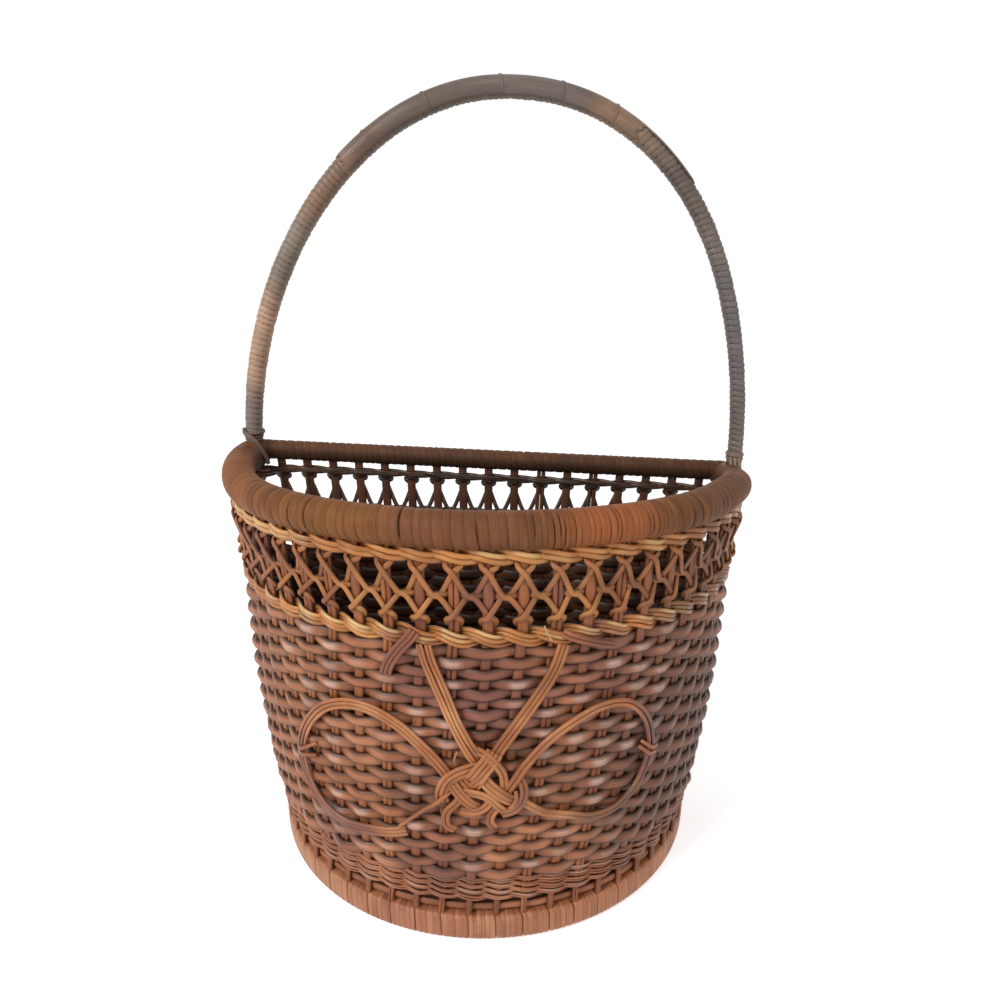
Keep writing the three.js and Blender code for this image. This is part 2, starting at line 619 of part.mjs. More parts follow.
function makeHandle() {
  const shares = handleStations(0, 1, HANDLE_STEPS);
  const arch = shares.map(handlePoint);
  const legBottom = rimCentre - HANDLE_CORE_RADIUS;
  const leftFoot = new THREE.Vector3(-legX, legY, legBottom);
  const rightFoot = new THREE.Vector3(legX, legY, legBottom);
  const core = [leftFoot, ...arch, rightFoot];
  const coreRings = handleRings([0, ...shares, 1], core, CORE_SIDES, () => HANDLE_CORE_RADIUS);
  add("handle_core", surface(coreRings, true), materials.core);

  const lift = new THREE.Vector3(0, 0, 2 * GAP);
  const sleeve = arch.map((point) => point.clone());
  sleeve[0].add(lift);
  sleeve[sleeve.length - 1].add(lift);
  const outside = handleRings(shares, sleeve, HANDLE_SIDES, handleRadius);
  const bore = handleRings(shares, sleeve, HANDLE_SIDES, () => HANDLE_CORE_RADIUS + GAP);
  add("handle_wrap", surface([...outside, ...bore.reverse()], false), materials.handleWrap);

  const stripShares = handleStations(STRIP_START, STRIP_END, HANDLE_STEPS / 2);
  const stripPoints = stripShares.map(handlePoint);
  const stripRings = sweepRings(stripPoints, stripPoints.map(() => handleFront), (i) => {
    const low = handleRadius(stripShares[i]) + GAP;
    const w = STRIP_WIDTH / 2;
    const high = low + STRIP_THICKNESS;
    return [[-w, -low], [w, -low], [w - STRIP_THICKNESS / 2, -high], [STRIP_THICKNESS / 2 - w, -high]];
  });
  add("handle_strip", surface(stripRings, true), materials.handleStrip);

  const bead = COLLAR_HEIGHT / COLLAR_TURNS;
  const hole = legHole / Math.cos(Math.PI / COLLAR_SIDES);
  const profile = [new THREE.Vector2(hole, 0)];
  for (let i = 0; i < COLLAR_TURNS; i++) {
    profile.push(new THREE.Vector2(COLLAR_RADIUS - bead / 4, i * bead));
    profile.push(new THREE.Vector2(COLLAR_RADIUS, (i + 0.5) * bead));
  }
  profile.push(new THREE.Vector2(COLLAR_RADIUS - bead / 4, COLLAR_HEIGHT));
  profile.push(new THREE.Vector2(hole, COLLAR_HEIGHT));
  profile.push(profile[0].clone());
  for (const [side, name] of [[-1, "left"], [1, "right"]]) {
    const collar = new THREE.LatheGeometry(profile, COLLAR_SIDES);
    collar.rotateX(Math.PI / 2);
    collar.translate(side * legX, legY, rimTop + GAP);
    add("handle_collar_" + name, collar, materials.handleWrap);
  }
}

// Front ornament. A front place is x and z; its distance is counted from the wall's outer face.
function frontPoint(x, z, distance) {
  const offset = wallHalf + bellyAt(z) + distance;
  const position = Math.acos(-x / (wallOutline(z).half + offset)) / Math.PI;
  return { point: wallPoint(position, z, offset), outward: outwardAt(position, z) };
}

function curveThrough(route) {
  const points = route.map(([x, z]) => new THREE.Vector3(x, 0, z));
  return new THREE.CatmullRomCurve3(points, false, "centripetal");
}

function routeOnFront(route, steps, section, distance) {
  const places = curveThrough(route).getSpacedPoints(steps).map((p) => frontPoint(p.x, p.z, distance));
  return strand(places.map((p) => p.point), places.map((p) => p.outward), section);
}

function makeTie(name, route, share) {
  const curve = curveThrough(route);
  const centre = curve.getPointAt(share);
  const along = curve.getTangentAt(share);
  const high = LOOP_DEPTH + 2 * GAP + TIE_DIAMETER / 2;
  const low = GAP + TIE_DIAMETER / 2;
  const shape = [[-1, low], [-0.8, high], [0.8, high], [1, low]];
  const places = shape.map(([across, distance]) =>
    frontPoint(centre.x - along.z * across * TIE_SPAN, centre.z + along.x * across * TIE_SPAN, distance),
  );
  const up = places.map(() => new THREE.Vector3(along.x, 0, along.z));
  add(name, strand(places.map((p) => p.point), up, oval(5, TIE_DIAMETER, TIE_DIAMETER)), materials.stake);
}

// The mat is one endless cane: three turns round the middle with four waves, over and under by turns
function makeKnot() {
  const places = [];
  for (let i = 0; i < KNOT_STEPS; i++) {
    const turn = (2 * Math.PI * KNOT_TURNS * i) / KNOT_STEPS;
    const wave = (KNOT_BIGHTS / KNOT_TURNS) * turn;
    const radius = KNOT_RADIUS + KNOT_WAVE * Math.cos(wave);
    const distance = GAP + KNOT_CANE + KNOT_LIFT * (1 + Math.sin(2 * wave));
    places.push(frontPoint(KNOT_X + radius * Math.sin(turn), KNOT_Z + radius * Math.cos(turn), distance));
  }
  const section = oval(KNOT_SIDES, 2 * KNOT_CANE, 2 * KNOT_CANE);
  const rings = sweepRings(places.map((p) => p.point), places.map((p) => p.outward), () => section, true);
  add("knot", surface(rings, false), materials.knot);

  let nearest = Infinity;
  const apart = KNOT_STEPS / (KNOT_TURNS * KNOT_BIGHTS) + 1;
  places.forEach((a, i) =>
    places.forEach((b, j) => {
      const steps = Math.min(Math.abs(i - j), KNOT_STEPS - Math.abs(i - j));
      if (steps > apart) nearest = Math.min(nearest, a.point.distanceTo(b.point));
    }),
  );
  console.log("least gap of the knot's cane to itself: " + (nearest - 2 * KNOT_CANE).toFixed(2) + " mm");
}

function makeOrnament() {
  makeKnot();
  const leg = oval(6, LEG_WIDTH, LEG_DEPTH);
  const loop = oval(6, LOOP_WIDTH, LOOP_DEPTH);
  add("knot_leg_left", routeOnFront(LEFT_LEG, 6, leg, GAP + LEG_DEPTH / 2), materials.knot);
  add("knot_leg_right", routeOnFront(RIGHT_LEG, 6, leg, GAP + LEG_DEPTH / 2), materials.knot);
  add("knot_loop_left", routeOnFront(LEFT_LOOP, LOOP_STEPS, loop, GAP + LOOP_DEPTH / 2), materials.knot);
  add("knot_loop_right", routeOnFront(RIGHT_LOOP, LOOP_STEPS, loop, GAP + LOOP_DEPTH / 2), materials.knot);
  makeTie("loop_tie_left", LEFT_LOOP, LEFT_TIE_AT);
  makeTie("loop_tie_right", RIGHT_LOOP, RIGHT_TIE_AT);
}

makeRim();
makeTwines();
makeOpenwork();
makeBody();
makeBase();
makeFoot();
makeHandle();
makeOrnament();

export default basket;
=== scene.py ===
# Looks of a half-round wicker basket with a fixed arch handle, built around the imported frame.
# Lengths are in millimetres until a mesh is made. +X is right, -Y the round front, +Z up.
import math

import bpy
import numpy as np
from mathutils import Matrix, Vector


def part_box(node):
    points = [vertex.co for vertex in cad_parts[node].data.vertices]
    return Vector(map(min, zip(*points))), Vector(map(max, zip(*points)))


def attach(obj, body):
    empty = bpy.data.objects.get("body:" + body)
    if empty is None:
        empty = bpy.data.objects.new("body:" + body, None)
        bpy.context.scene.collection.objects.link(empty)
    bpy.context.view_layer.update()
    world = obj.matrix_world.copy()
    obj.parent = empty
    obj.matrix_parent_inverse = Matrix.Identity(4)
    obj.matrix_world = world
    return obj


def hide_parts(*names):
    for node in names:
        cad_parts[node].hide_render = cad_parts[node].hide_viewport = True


MM = 0.001
BODY = "root"

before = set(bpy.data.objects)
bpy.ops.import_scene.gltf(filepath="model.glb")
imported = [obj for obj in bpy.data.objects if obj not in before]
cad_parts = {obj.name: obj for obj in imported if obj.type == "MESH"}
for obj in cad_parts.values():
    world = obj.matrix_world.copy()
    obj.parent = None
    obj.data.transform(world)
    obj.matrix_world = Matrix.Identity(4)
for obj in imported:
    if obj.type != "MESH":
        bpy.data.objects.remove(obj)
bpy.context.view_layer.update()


def span(node):
    low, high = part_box(node)
    return np.array(low) / MM, np.array(high) / MM


def centre_of(node):
    return sum(span(node)) / 2


# Sizes read from the frame
CLEARANCE = 0.3  # between the frame's pieces
rim_low, rim_high = span("rim_wrap")
foot_low, foot_high = span("foot_wrap")
core_low, core_high = span("handle_core")
RIM_WIDTH, RIM_DEPTH = (rim_high - rim_low)[:2]
FOOT_WIDTH, _, FOOT_HEIGHT = foot_high - foot_low
BACK_FACE = rim_high[1]
FOOT_DEPTH = BACK_FACE - foot_low[1]
RIM_TOP = rim_high[2]
RIM_RADIUS = (rim_high[2] - rim_low[2]) / 2
RIM_CENTRE = RIM_TOP - RIM_RADIUS
FOOT_ROD_MIDDLE = centre_of("foot_rod")[2]
WEAVE_BOTTOM = span("base_panel")[1][2] + CLEARANCE
WEAVE_TOP = span("woven_body")[1][2]
OPENWORK_BOTTOM = span("front_stake_01")[0][2] - CLEARANCE
OPENWORK_TOP = span("front_stake_01")[1][2] + CLEARANCE
OPENWORK_MIDDLE = (OPENWORK_BOTTOM + OPENWORK_TOP) / 2
UPPER_TWINE_TOP = rim_low[2] - CLEARANCE
COLLAR_TOP = span("handle_collar_left")[1][2]
LEG_Y = centre_of("handle_collar_right")[1]

# Outline of the wall, as in the frame
CORNER_RADIUS = 8
BACK_INSET = 5.2
FOOT_INSET = 2.4
RIM_INSET = 5.8
RIM_RADIUS_BACK = 5
FRONT_STAKES = 30
BACK_STAKES = 17
STAKES = FRONT_STAKES + BACK_STAKES
LAST_FRONT = FRONT_STAKES - 1
TWIST = -0.62  # stake gaps that the stakes lean to the left from the openwork down to the foot

FORWARD = np.array([0.0, -1.0, 0.0])
UP = np.array([0.0, 0.0, 1.0])
rng = np.random.default_rng(7)


def lerp(a, b, t):
    return a + (b - a) * t


def smooth(t):
    t = np.clip(t, 0, 1)
    return t * t * (3 - 2 * t)


def wall_outline(z):
    rise = (z - FOOT_HEIGHT / 2) / (RIM_CENTRE - FOOT_HEIGHT / 2)
    inset = lerp(FOOT_INSET, RIM_INSET, rise)
    half = lerp(FOOT_WIDTH, RIM_WIDTH, rise) / 2 - inset
    front = BACK_FACE - lerp(FOOT_DEPTH, RIM_DEPTH, rise) + inset
    return half, front, BACK_FACE - BACK_INSET


def plan(position, outline, offset):
    """Plan position 0 to 1 is the round front from left to right, 2 to 3 the back; corners lie between."""
    half, front, back = outline
    p = np.mod(position, 4)
    reach = half + offset
    corner = CORNER_RADIUS + offset
    middle = back - CORNER_RADIUS
    flat = half - CORNER_RADIUS
    depth = middle - front + offset
    turn = np.mod(p, 1) * (math.pi / 2)
    x = np.select(
        [p < 1, p < 2, p < 3],
        [-reach * np.cos(math.pi * p), flat + corner * np.cos(turn), flat * (1 - 2 * (p - 2))],
        -flat - corner * np.sin(turn),
    )
    y = np.select(
        [p < 1, p < 2, p < 3],
        [middle - depth * np.sin(math.pi * p), middle + corner * np.sin(turn), middle + corner + 0 * p],
        middle + corner * np.cos(turn),
    )
    return x, y


def joined(x, y, z):
    """Points from their coordinates, of which some may be single numbers"""
    return np.stack(np.broadcast_arrays(x, y, z), axis=-1)


def wall(position, z, offset):
    return joined(*plan(position, wall_outline(z), offset), z)


def unit(v):
    return v / np.maximum(np.linalg.norm(v, axis=-1, keepdims=True), 1e-9)


def outward_at(position, z):
    return unit(wall(position, z, 1.0) - wall(position, z, 0.0))


def length_along(points):
    return np.concatenate([[0], np.cumsum(np.linalg.norm(np.diff(points, axis=0), axis=1))])


# Stakes are counted from the left corner, along the front to the right corner, and back behind
GIRTH_STEPS = 4000
girth_positions = np.linspace(-0.5, 3.5, GIRTH_STEPS + 1)
girth = length_along(wall(girth_positions, np.full(GIRTH_STEPS + 1, OPENWORK_MIDDLE), 0.0))
front_girth = girth[GIRTH_STEPS // 2]
FRONT_PITCH = front_girth / LAST_FRONT
BACK_PITCH = (girth[-1] - front_girth) / (BACK_STAKES + 1)
girth_places = np.where(
    girth <= front_girth, girth / FRONT_PITCH, LAST_FRONT + (girth - front_girth) / BACK_PITCH
)


def position_of(place):
    turns = np.floor(place / STAKES)
    return np.interp(place - turns * STAKES, girth_places, girth_positions) + 4 * turns


def behind(place):
    """1 along the back, 0 in front"""
    place = np.mod(place, STAKES)
    return smooth((place - LAST_FRONT) / 1.5) * smooth((STAKES - place) / 1.5)


def leaning(place, z):
    """The place moved by the twist that the stakes have between foot and openwork."""
    return place + TWIST * np.clip((OPENWORK_BOTTOM - z) / (OPENWORK_BOTTOM - FOOT_HEIGHT), 0, 1)


def on_wall(place, z, offset):
    position = position_of(leaning(place, z))
    return wall(position, z, offset), outward_at(position, z)


# The woven face, half a wall out from the stakes' centre line, with a belly between its ends
WALL_HALF = 3.2
WALL_BELLY = 2.2


def belly(z):
    height = (2 * z - WEAVE_BOTTOM - WEAVE_TOP) / (WEAVE_TOP - WEAVE_BOTTOM)
    return WALL_BELLY * np.clip(1 - height**2, 0, 1)


def front_place(x, z, distance):
    """A point on the front, at distance from the woven face, with the direction outwards"""
    offset = WALL_HALF + belly(z) + distance
    half = wall_outline(z)[0] + offset
    position = np.arccos(np.clip(-x / half, -1, 1)) / math.pi
    return wall(position, z, offset), outward_at(position, z)


def front_point(x, z):
    return front_place(np.array([float(x)]), np.array([float(z)]), 0.0)[0][0]


# Stains: where, how far round it in millimetres, in which colour, how strongly
PURPLE = (138, 82, 70)
VIOLET = (106, 68, 70)
TAN = (182, 122, 82)
UMBER = (104, 66, 44)


def on_front(x, z, radius, tint, strength):
    return front_point(x, z), radius, tint, strength


def on_back(x, z, radius, tint, strength):
    return np.array([float(x), BACK_FACE, z]), radius, tint, strength


# Materials: each surface carries its lay, as length along the strand, length round it and strand number
LAY_STEP = 0.731  # added to the lay's third number from strand to strand
TONE_SCALE = (0.045, 0.0, 3.7)
GRAIN_SCALE = (0.12, 3.2, 11.0)
BLOTCH_SCALE = 38.0
COAT_ROUGHNESS = 0.3
GRAIN_HEIGHT = 0.3 * MM


class Shader:
    """Nodes of a material or a world, and the inputs of its main node"""

    def __init__(self, owner, main="Principled BSDF"):
        owner.use_nodes = True
        self.owner = owner
        self.tree = owner.node_tree
        self.main = self.tree.nodes[main]

    def node(self, kind, inputs=None, **settings):
        made = self.tree.nodes.new(kind)
        for key, value in settings.items():
            setattr(made, key, value)
        for key, value in (inputs or {}).items():
            self.feed(made.inputs[key], value)
        return made

    def feed(self, socket, value):
        if isinstance(value, bpy.types.NodeSocket):
            self.tree.links.new(value, socket)
        else:
            socket.default_value = value

    def put(self, name, value):
        self.feed(self.main.inputs[name], value)

    def math(self, operation, a, b):
        return self.node("ShaderNodeMath", {0: a, 1: b}, operation=operation).outputs[0]

    def mix(self, factor, a, b, blend="MIX"):
        inputs = {0: factor, 6: a, 7: b}
        return self.node("ShaderNodeMix", inputs, data_type="RGBA", blend_type=blend).outputs[2]

    def noise(self, vector, scale, detail):
        inputs = {"Vector": vector, "Scale": scale, "Detail": detail}
        return self.node("ShaderNodeTexNoise", inputs).outputs[0]

    def stretch(self, vector, scale):
        return self.node("ShaderNodeMapping", {"Vector": vector, "Scale": scale}).outputs[0]

    def ramp(self, value, low, high, start=0.0, end=1.0):
        return self.node("ShaderNodeMapRange", {0: value, 1: low, 2: high, 3: start, 4: end}).outputs[0]


def srgb(r, g, b):
    linear = [(c / 255 / 12.92) if c <= 10 else ((c / 255 + 0.055) / 1.055) ** 2.4 for c in (r, g, b)]
    return (*linear, 1.0)


GRAIN_DARK = srgb(58, 34, 24)
# The shade attribute mixes towards this dark colour: painted shade in recesses, grooves, at long edges and
# on inward faces, together with a random darker tone from strand to strand
PAINTED_SHADE_AND_TONE = srgb(34, 22, 16)


def cane(name, dark, middle, light, lit_and_worn, roughness=0.46, coat=0.08, bump=0.25, gloss=0.35):
    """Cane: tone by strand and along it, stains by place, fine grain lines, painted shade, and glossier
    spots whose lighter colour is a painted highlight
    """
    s = Shader(bpy.data.materials.new(name))
    dark, middle, light, lit_and_worn = (srgb(*tint) for tint in (dark, middle, light, lit_and_worn))
    lay = s.node("ShaderNodeAttribute", attribute_name="lay").outputs["Vector"]
    shade = s.node("ShaderNodeAttribute", attribute_name="shade").outputs["Fac"]
    wear_and_highlight = s.node("ShaderNodeAttribute", attribute_name="wear_and_highlight").outputs["Fac"]
    stain = s.node("ShaderNodeAttribute", attribute_name="stain")
    along = s.noise(s.stretch(lay, TONE_SCALE), 1.0, 2.0)
    grain = s.noise(s.stretch(lay, GRAIN_SCALE), 1.0, 4.0)
    blotch = s.noise(s.node("ShaderNodeTexCoord").outputs["Object"], BLOTCH_SCALE, 3.0)
    color = s.mix(s.ramp(along, 0.36, 0.62), dark, middle)
    color = s.mix(s.ramp(blotch, 0.52, 0.72), color, light)
    spread = s.math("MULTIPLY", stain.outputs["Alpha"], s.ramp(blotch, 0.35, 0.6, 0.6, 1.0))
    color = s.mix(spread, color, stain.outputs["Color"])
    color = s.mix(1.0, color, s.ramp(along, 0.3, 0.7, 0.86, 1.12), "MULTIPLY")
    color = s.mix(wear_and_highlight, color, lit_and_worn)
    color = s.mix(s.ramp(grain, 0.35, 0.8, 0.0, 0.42), color, GRAIN_DARK)
    color = s.mix(shade, PAINTED_SHADE_AND_TONE, color)
    s.put("Base Color", color)
    rough = s.ramp(grain, 0.2, 0.8, roughness - 0.1, roughness + 0.12)
    s.put("Roughness", s.math("SUBTRACT", rough, s.math("MULTIPLY", wear_and_highlight, 0.15)))
    s.put("Specular IOR Level", gloss)
    s.put("Coat Weight", coat)
    s.put("Coat Roughness", COAT_ROUGHNESS)
    height = s.node("ShaderNodeBump", {"Height": grain, "Strength": bump, "Distance": GRAIN_HEIGHT})
    s.put("Normal", height.outputs[0])
    return s.owner


weave_look = cane("weave", (146, 86, 54), (178, 110, 72), (206, 138, 98), (232, 192, 172))
stake_look = cane("stake", (138, 78, 44), (166, 96, 54), (188, 116, 70), (206, 160, 124))
strand_look = cane("strand", (148, 88, 50), (180, 112, 62), (204, 138, 80), (228, 180, 128))
twine_look = cane(
    "twine", (176, 104, 50), (212, 138, 70), (240, 178, 98), (255, 226, 160), roughness=0.36, coat=0.2
)
rim_look = cane(
    "rim_wrap", (114, 70, 40), (136, 86, 50), (152, 100, 60), (180, 136, 100),
    roughness=0.55, coat=0.0, bump=0.15, gloss=0.15,
)
foot_look = cane("foot_wrap", (160, 98, 66), (192, 126, 88), (214, 154, 114), (236, 190, 152))
handle_look = cane(
    "handle_wrap", (108, 94, 84), (128, 112, 100), (146, 128, 112), (168, 150, 136), roughness=0.5
)
strip_look = cane("handle_strip", (96, 84, 76), (112, 99, 90), (128, 113, 102), (150, 134, 120))
knot_look = cane("knot", (164, 98, 58), (192, 122, 74), (212, 148, 98), (230, 182, 136), roughness=0.4)
core_look = cane(
    "core", (120, 82, 54), (143, 101, 68), (166, 120, 82), (180, 140, 104), roughness=0.6, coat=0.0
)
end_look = cane("stray_end", (206, 166, 116), (226, 190, 140), (238, 208, 164), (248, 228, 196))


# Meshes
def section(angle, roundness):
    """Unit section at angle: first how far outwards, then sideways. Roundness above 2 is boxier."""
    c, s = np.cos(angle), np.sin(angle)
    power = 2 / roundness
    return np.sign(c) * np.abs(c) ** power, np.sign(s) * np.abs(s) ** power


def spline(points, steps):
    """A smooth curve through points, with steps stretches between each two."""
    p = np.asarray(points, float)
    p = np.concatenate([2 * p[:1] - p[1:2], p, 2 * p[-1:] - p[-2:-1]])
    t = (np.arange(steps) / steps)[None, :, None]
    p0, p1, p2, p3 = (p[i : len(p) - 3 + i][:, None, :] for i in range(4))
    curve = p1 + 0.5 * t * (p2 - p0 + t * (2 * p0 - 5 * p1 + 4 * p2 - p3 + t * (3 * (p1 - p2) + p3 - p0)))
    return np.concatenate([curve.reshape(-1, p.shape[1]), p[-2:-1]])


# How far the back of the rim leans and its front has sunk, and where that begins and ends
LEFT_RISE = 2.0
RIGHT_SINK = 6.2
FRONT_SINK = 1.6
SINK_FADE = 60
LEAN_FROM_Y = -5
LEAN_BELOW = 72
LEAN_ABOVE = 130
LEAN_FADE_ABOVE = 110
FRONT_SINK_TO_Y = 30
FRONT_SINK_FROM_Z = 90


def sunk(points):
    """Points moved with the sunk rim, to which they are tied"""
    x, y, z = points.T
    lean = lerp(-LEFT_RISE, RIGHT_SINK, np.clip(x / RIM_WIDTH + 0.5, 0, 1))
    lean = lean * smooth((y - LEAN_FROM_Y) / SINK_FADE) * smooth((z - RIM_TOP + LEAN_BELOW) / SINK_FADE)
    lean = lean * smooth((RIM_TOP + LEAN_ABOVE - z) / LEAN_FADE_ABOVE)
    front = smooth((FRONT_SINK_TO_Y - y) / SINK_FADE) * smooth((z - FRONT_SINK_FROM_Z) / SINK_FADE)
    return points - (lean + FRONT_SINK * front)[:, None] * UP


def stained(points, stains):
    """Colour of the stains at points, with how strong it is there as the fourth number"""
    color = np.zeros((len(points), 4))
    for centre, radius, tint, strength in stains:
        near = strength * smooth(1.5 * (1 - np.linalg.norm(points - centre, axis=1) / radius))
        color = color * (1 - near[:, None]) + near[:, None] * np.array(srgb(*tint))
    color[:, :3] /= np.maximum(color[:, 3:], 1e-6)
    return color


def set_attribute(mesh, name, kind, field, values):
    made = mesh.attributes.new(name, kind, "POINT")
    made.data.foreach_set(field, values.astype(np.float32).ravel())


class Piece:
    """Collects closed skins and makes one mesh of them."""

    def __init__(self, name):
        self.name = name
        self.points, self.lays, self.shades, self.wears_and_highlights = [], [], [], []
        self.quads, self.caps = [], []
        self.count = 0
        self.strands = 0

    def skin(self, rings, closed, round_length, shade, wear_and_highlight=0.0):
        """rings is an array of rings x sides x 3, shade (painted shade and random tone) and
        wear_and_highlight (glossier spots with a painted highlight) are numbers or arrays of rings x sides
        """
        n, m = rings.shape[:2]
        self.strands += 1
        lay = np.empty((n, m, 3))
        lay[..., 0] = length_along(rings.mean(axis=1))[:, None]
        lay[..., 1] = np.sin(np.linspace(0, math.pi, m, endpoint=False))[None, :] * round_length
        lay[..., 2] = self.strands * LAY_STEP
        self.points.append(rings.reshape(-1, 3))
        self.lays.append(lay.reshape(-1, 3))
        self.shades.append(np.broadcast_to(shade, (n, m)).reshape(-1))
        self.wears_and_highlights.append(np.broadcast_to(wear_and_highlight, (n, m)).reshape(-1))
        rows = np.arange(n if closed else n - 1)[:, None]
        cols = np.arange(m)[None, :]
        next_row, next_col = (rows + 1) % n, (cols + 1) % m
        quads = np.stack(
            [rows * m + cols, rows * m + next_col, next_row * m + next_col, next_row * m + cols], axis=-1
        )
        self.quads.append(quads.reshape(-1, 4) + self.count)
        if not closed:
            ring = np.arange(m)
            self.caps.append(ring[::-1] + self.count)
            self.caps.append(ring + (n - 1) * m + self.count)
        self.count += n * m

    def sweep(
        self, points, outward, width, depth, sides=8, closed=False, roundness=2.0,
        shade=1.0, wear_and_highlight=0.0, inner=1.0, edge=0.0,
    ):
        """A strand along points: depth outwards, width across, painted shade falling to inner on the inward
        side and by edge towards the long edges"""
        if closed:
            along = unit(np.roll(points, -1, axis=0) - np.roll(points, 1, axis=0))
        else:
            along = unit(np.gradient(points, axis=0))
        out = unit(outward - along * np.sum(along * outward, axis=1, keepdims=True))
        side = np.cross(along, out)
        u, v = section(math.tau * (np.arange(sides) + 0.5) / sides, roundness)
        half_depth = np.reshape(depth, (-1, 1)) / 2 * u[None, :]
        half_width = np.reshape(width, (-1, 1)) / 2 * v[None, :]
        rings = points[:, None, :] + half_depth[..., None] * out[:, None, :]
        rings += half_width[..., None] * side[:, None, :]
        edges = 1 - edge * smooth((np.abs(v) - 0.4) / 0.5)
        facing = (lerp(1.0, inner, smooth(0.5 - 0.9 * u)) * edges)[None, :]
        # Painted highlight: the glossy spots are lighter towards the upper side, where the light falls
        lit_and_worn = np.reshape(wear_and_highlight, (-1, 1)) * smooth(0.85 - 0.85 * v)[None, :]
        self.skin(rings, closed, float(np.mean(width)), np.reshape(shade, (-1, 1)) * facing, lit_and_worn)

    def build(self, material, nodes, stains=()):
        """One mesh of all skins, in place of the named nodes"""
        mesh = bpy.data.meshes.new(self.name)
        points = np.concatenate(self.points)
        mesh.vertices.add(len(points))
        mesh.vertices.foreach_set("co", (sunk(points) * MM).astype(np.float32).ravel())
        quads = np.concatenate(self.quads)
        loops = np.concatenate([quads.ravel()] + self.caps)
        sizes = np.concatenate([np.full(len(quads), 4), [len(c) for c in self.caps]]).astype(int)
        mesh.loops.add(len(loops))
        mesh.loops.foreach_set("vertex_index", loops.astype(np.int32))
        mesh.polygons.add(len(sizes))
        starts = np.concatenate([[0], np.cumsum(sizes)[:-1]])
        mesh.polygons.foreach_set("loop_start", starts.astype(np.int32))
        mesh.update(calc_edges=True)
        mesh.polygons.foreach_set("use_smooth", np.ones(len(sizes), bool))
        set_attribute(mesh, "lay", "FLOAT_VECTOR", "vector", np.concatenate(self.lays))
        set_attribute(mesh, "shade", "FLOAT", "value", np.clip(np.concatenate(self.shades), 0, 1))
        set_attribute(mesh, "wear_and_highlight", "FLOAT", "value", np.concatenate(self.wears_and_highlights))
        set_attribute(mesh, "stain", "FLOAT_COLOR", "color", stained(points, stains))
        mesh.materials.append(material)
        piece = bpy.data.objects.new(self.name, mesh)
        bpy.context.scene.collection.objects.link(piece)
        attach(piece, BODY)
        if nodes:
            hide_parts(*nodes)


def wobble(count, size):
    """Slow random drift for count steps, ending as it began"""
    knots = rng.normal(0, size, max(count // 6, 4))
    return np.interp(np.linspace(0, len(knots), count), np.arange(len(knots) + 1), [*knots, knots[0]])


# Woven wall: one long weaver, over and under the stakes, climbing a course at the left corner
COURSES = 26
COURSE_PITCH = (WEAVE_TOP - WEAVE_BOTTOM) / COURSES
TWINED_COURSES = 2  # lowest courses, which are twined finely instead
TWINED_ROWS = 4
TWINED_BOTTOM = WEAVE_BOTTOM - 2.8
WEAVER_DEPTH = 2.8
WEAVER_SWING = 1.7  # how far a weaver's middle goes to each side of the stakes' centre line
WEAVER_HEIGHT_CROSSING = 1.2  # in courses, where the weaver crosses from side to side
WEAVER_HEIGHT_OVER = 1.08  # where it lies over a stake
WEAVER_HEIGHT_BEHIND = 1.22  # times as tall along the back
WAVE_SHARPNESS = 0.95  # a wave at 0, a zigzag at 1
WEAVE_STEPS = 8
CLIMB_GAPS = 1.5
# Share of the colour kept on inward-facing sides of the wall's canes: painted shade
INSIDE_SHADE = 0.24
# The broad dark stain on the right is painted shade
WALL_STAINS = [
    on_front(-85, 70, 90, (182, 114, 74), 0.7),
    on_front(92, 75, 84, (108, 64, 42), 0.9),
    on_front(8, 116, 34, PURPLE, 0.85),
    on_front(-18, 122, 22, PURPLE, 0.5),
    on_front(58, 128, 30, PURPLE, 0.45),
    on_front(72, 84, 20, VIOLET, 0.5),
    on_front(-12, 36, 26, VIOLET, 0.4),
    on_front(-62, 42, 20, VIOLET, 0.45),
    on_front(-26, 70, 16, UMBER, 0.6),
    on_front(14, 98, 12, UMBER, 0.6),
    on_front(26, 92, 14, UMBER, 0.5),
    on_front(-80, 128, 34, TAN, 0.5),
]
# Where glossier spots with a painted highlight gather on the front: x, z and how far round
LIT_AND_WORN_PLACES = [(6, 118, 46), (-60, 122, 34), (60, 112, 36), (-56, 70, 30), (50, 80, 30), (0, 40, 60)]


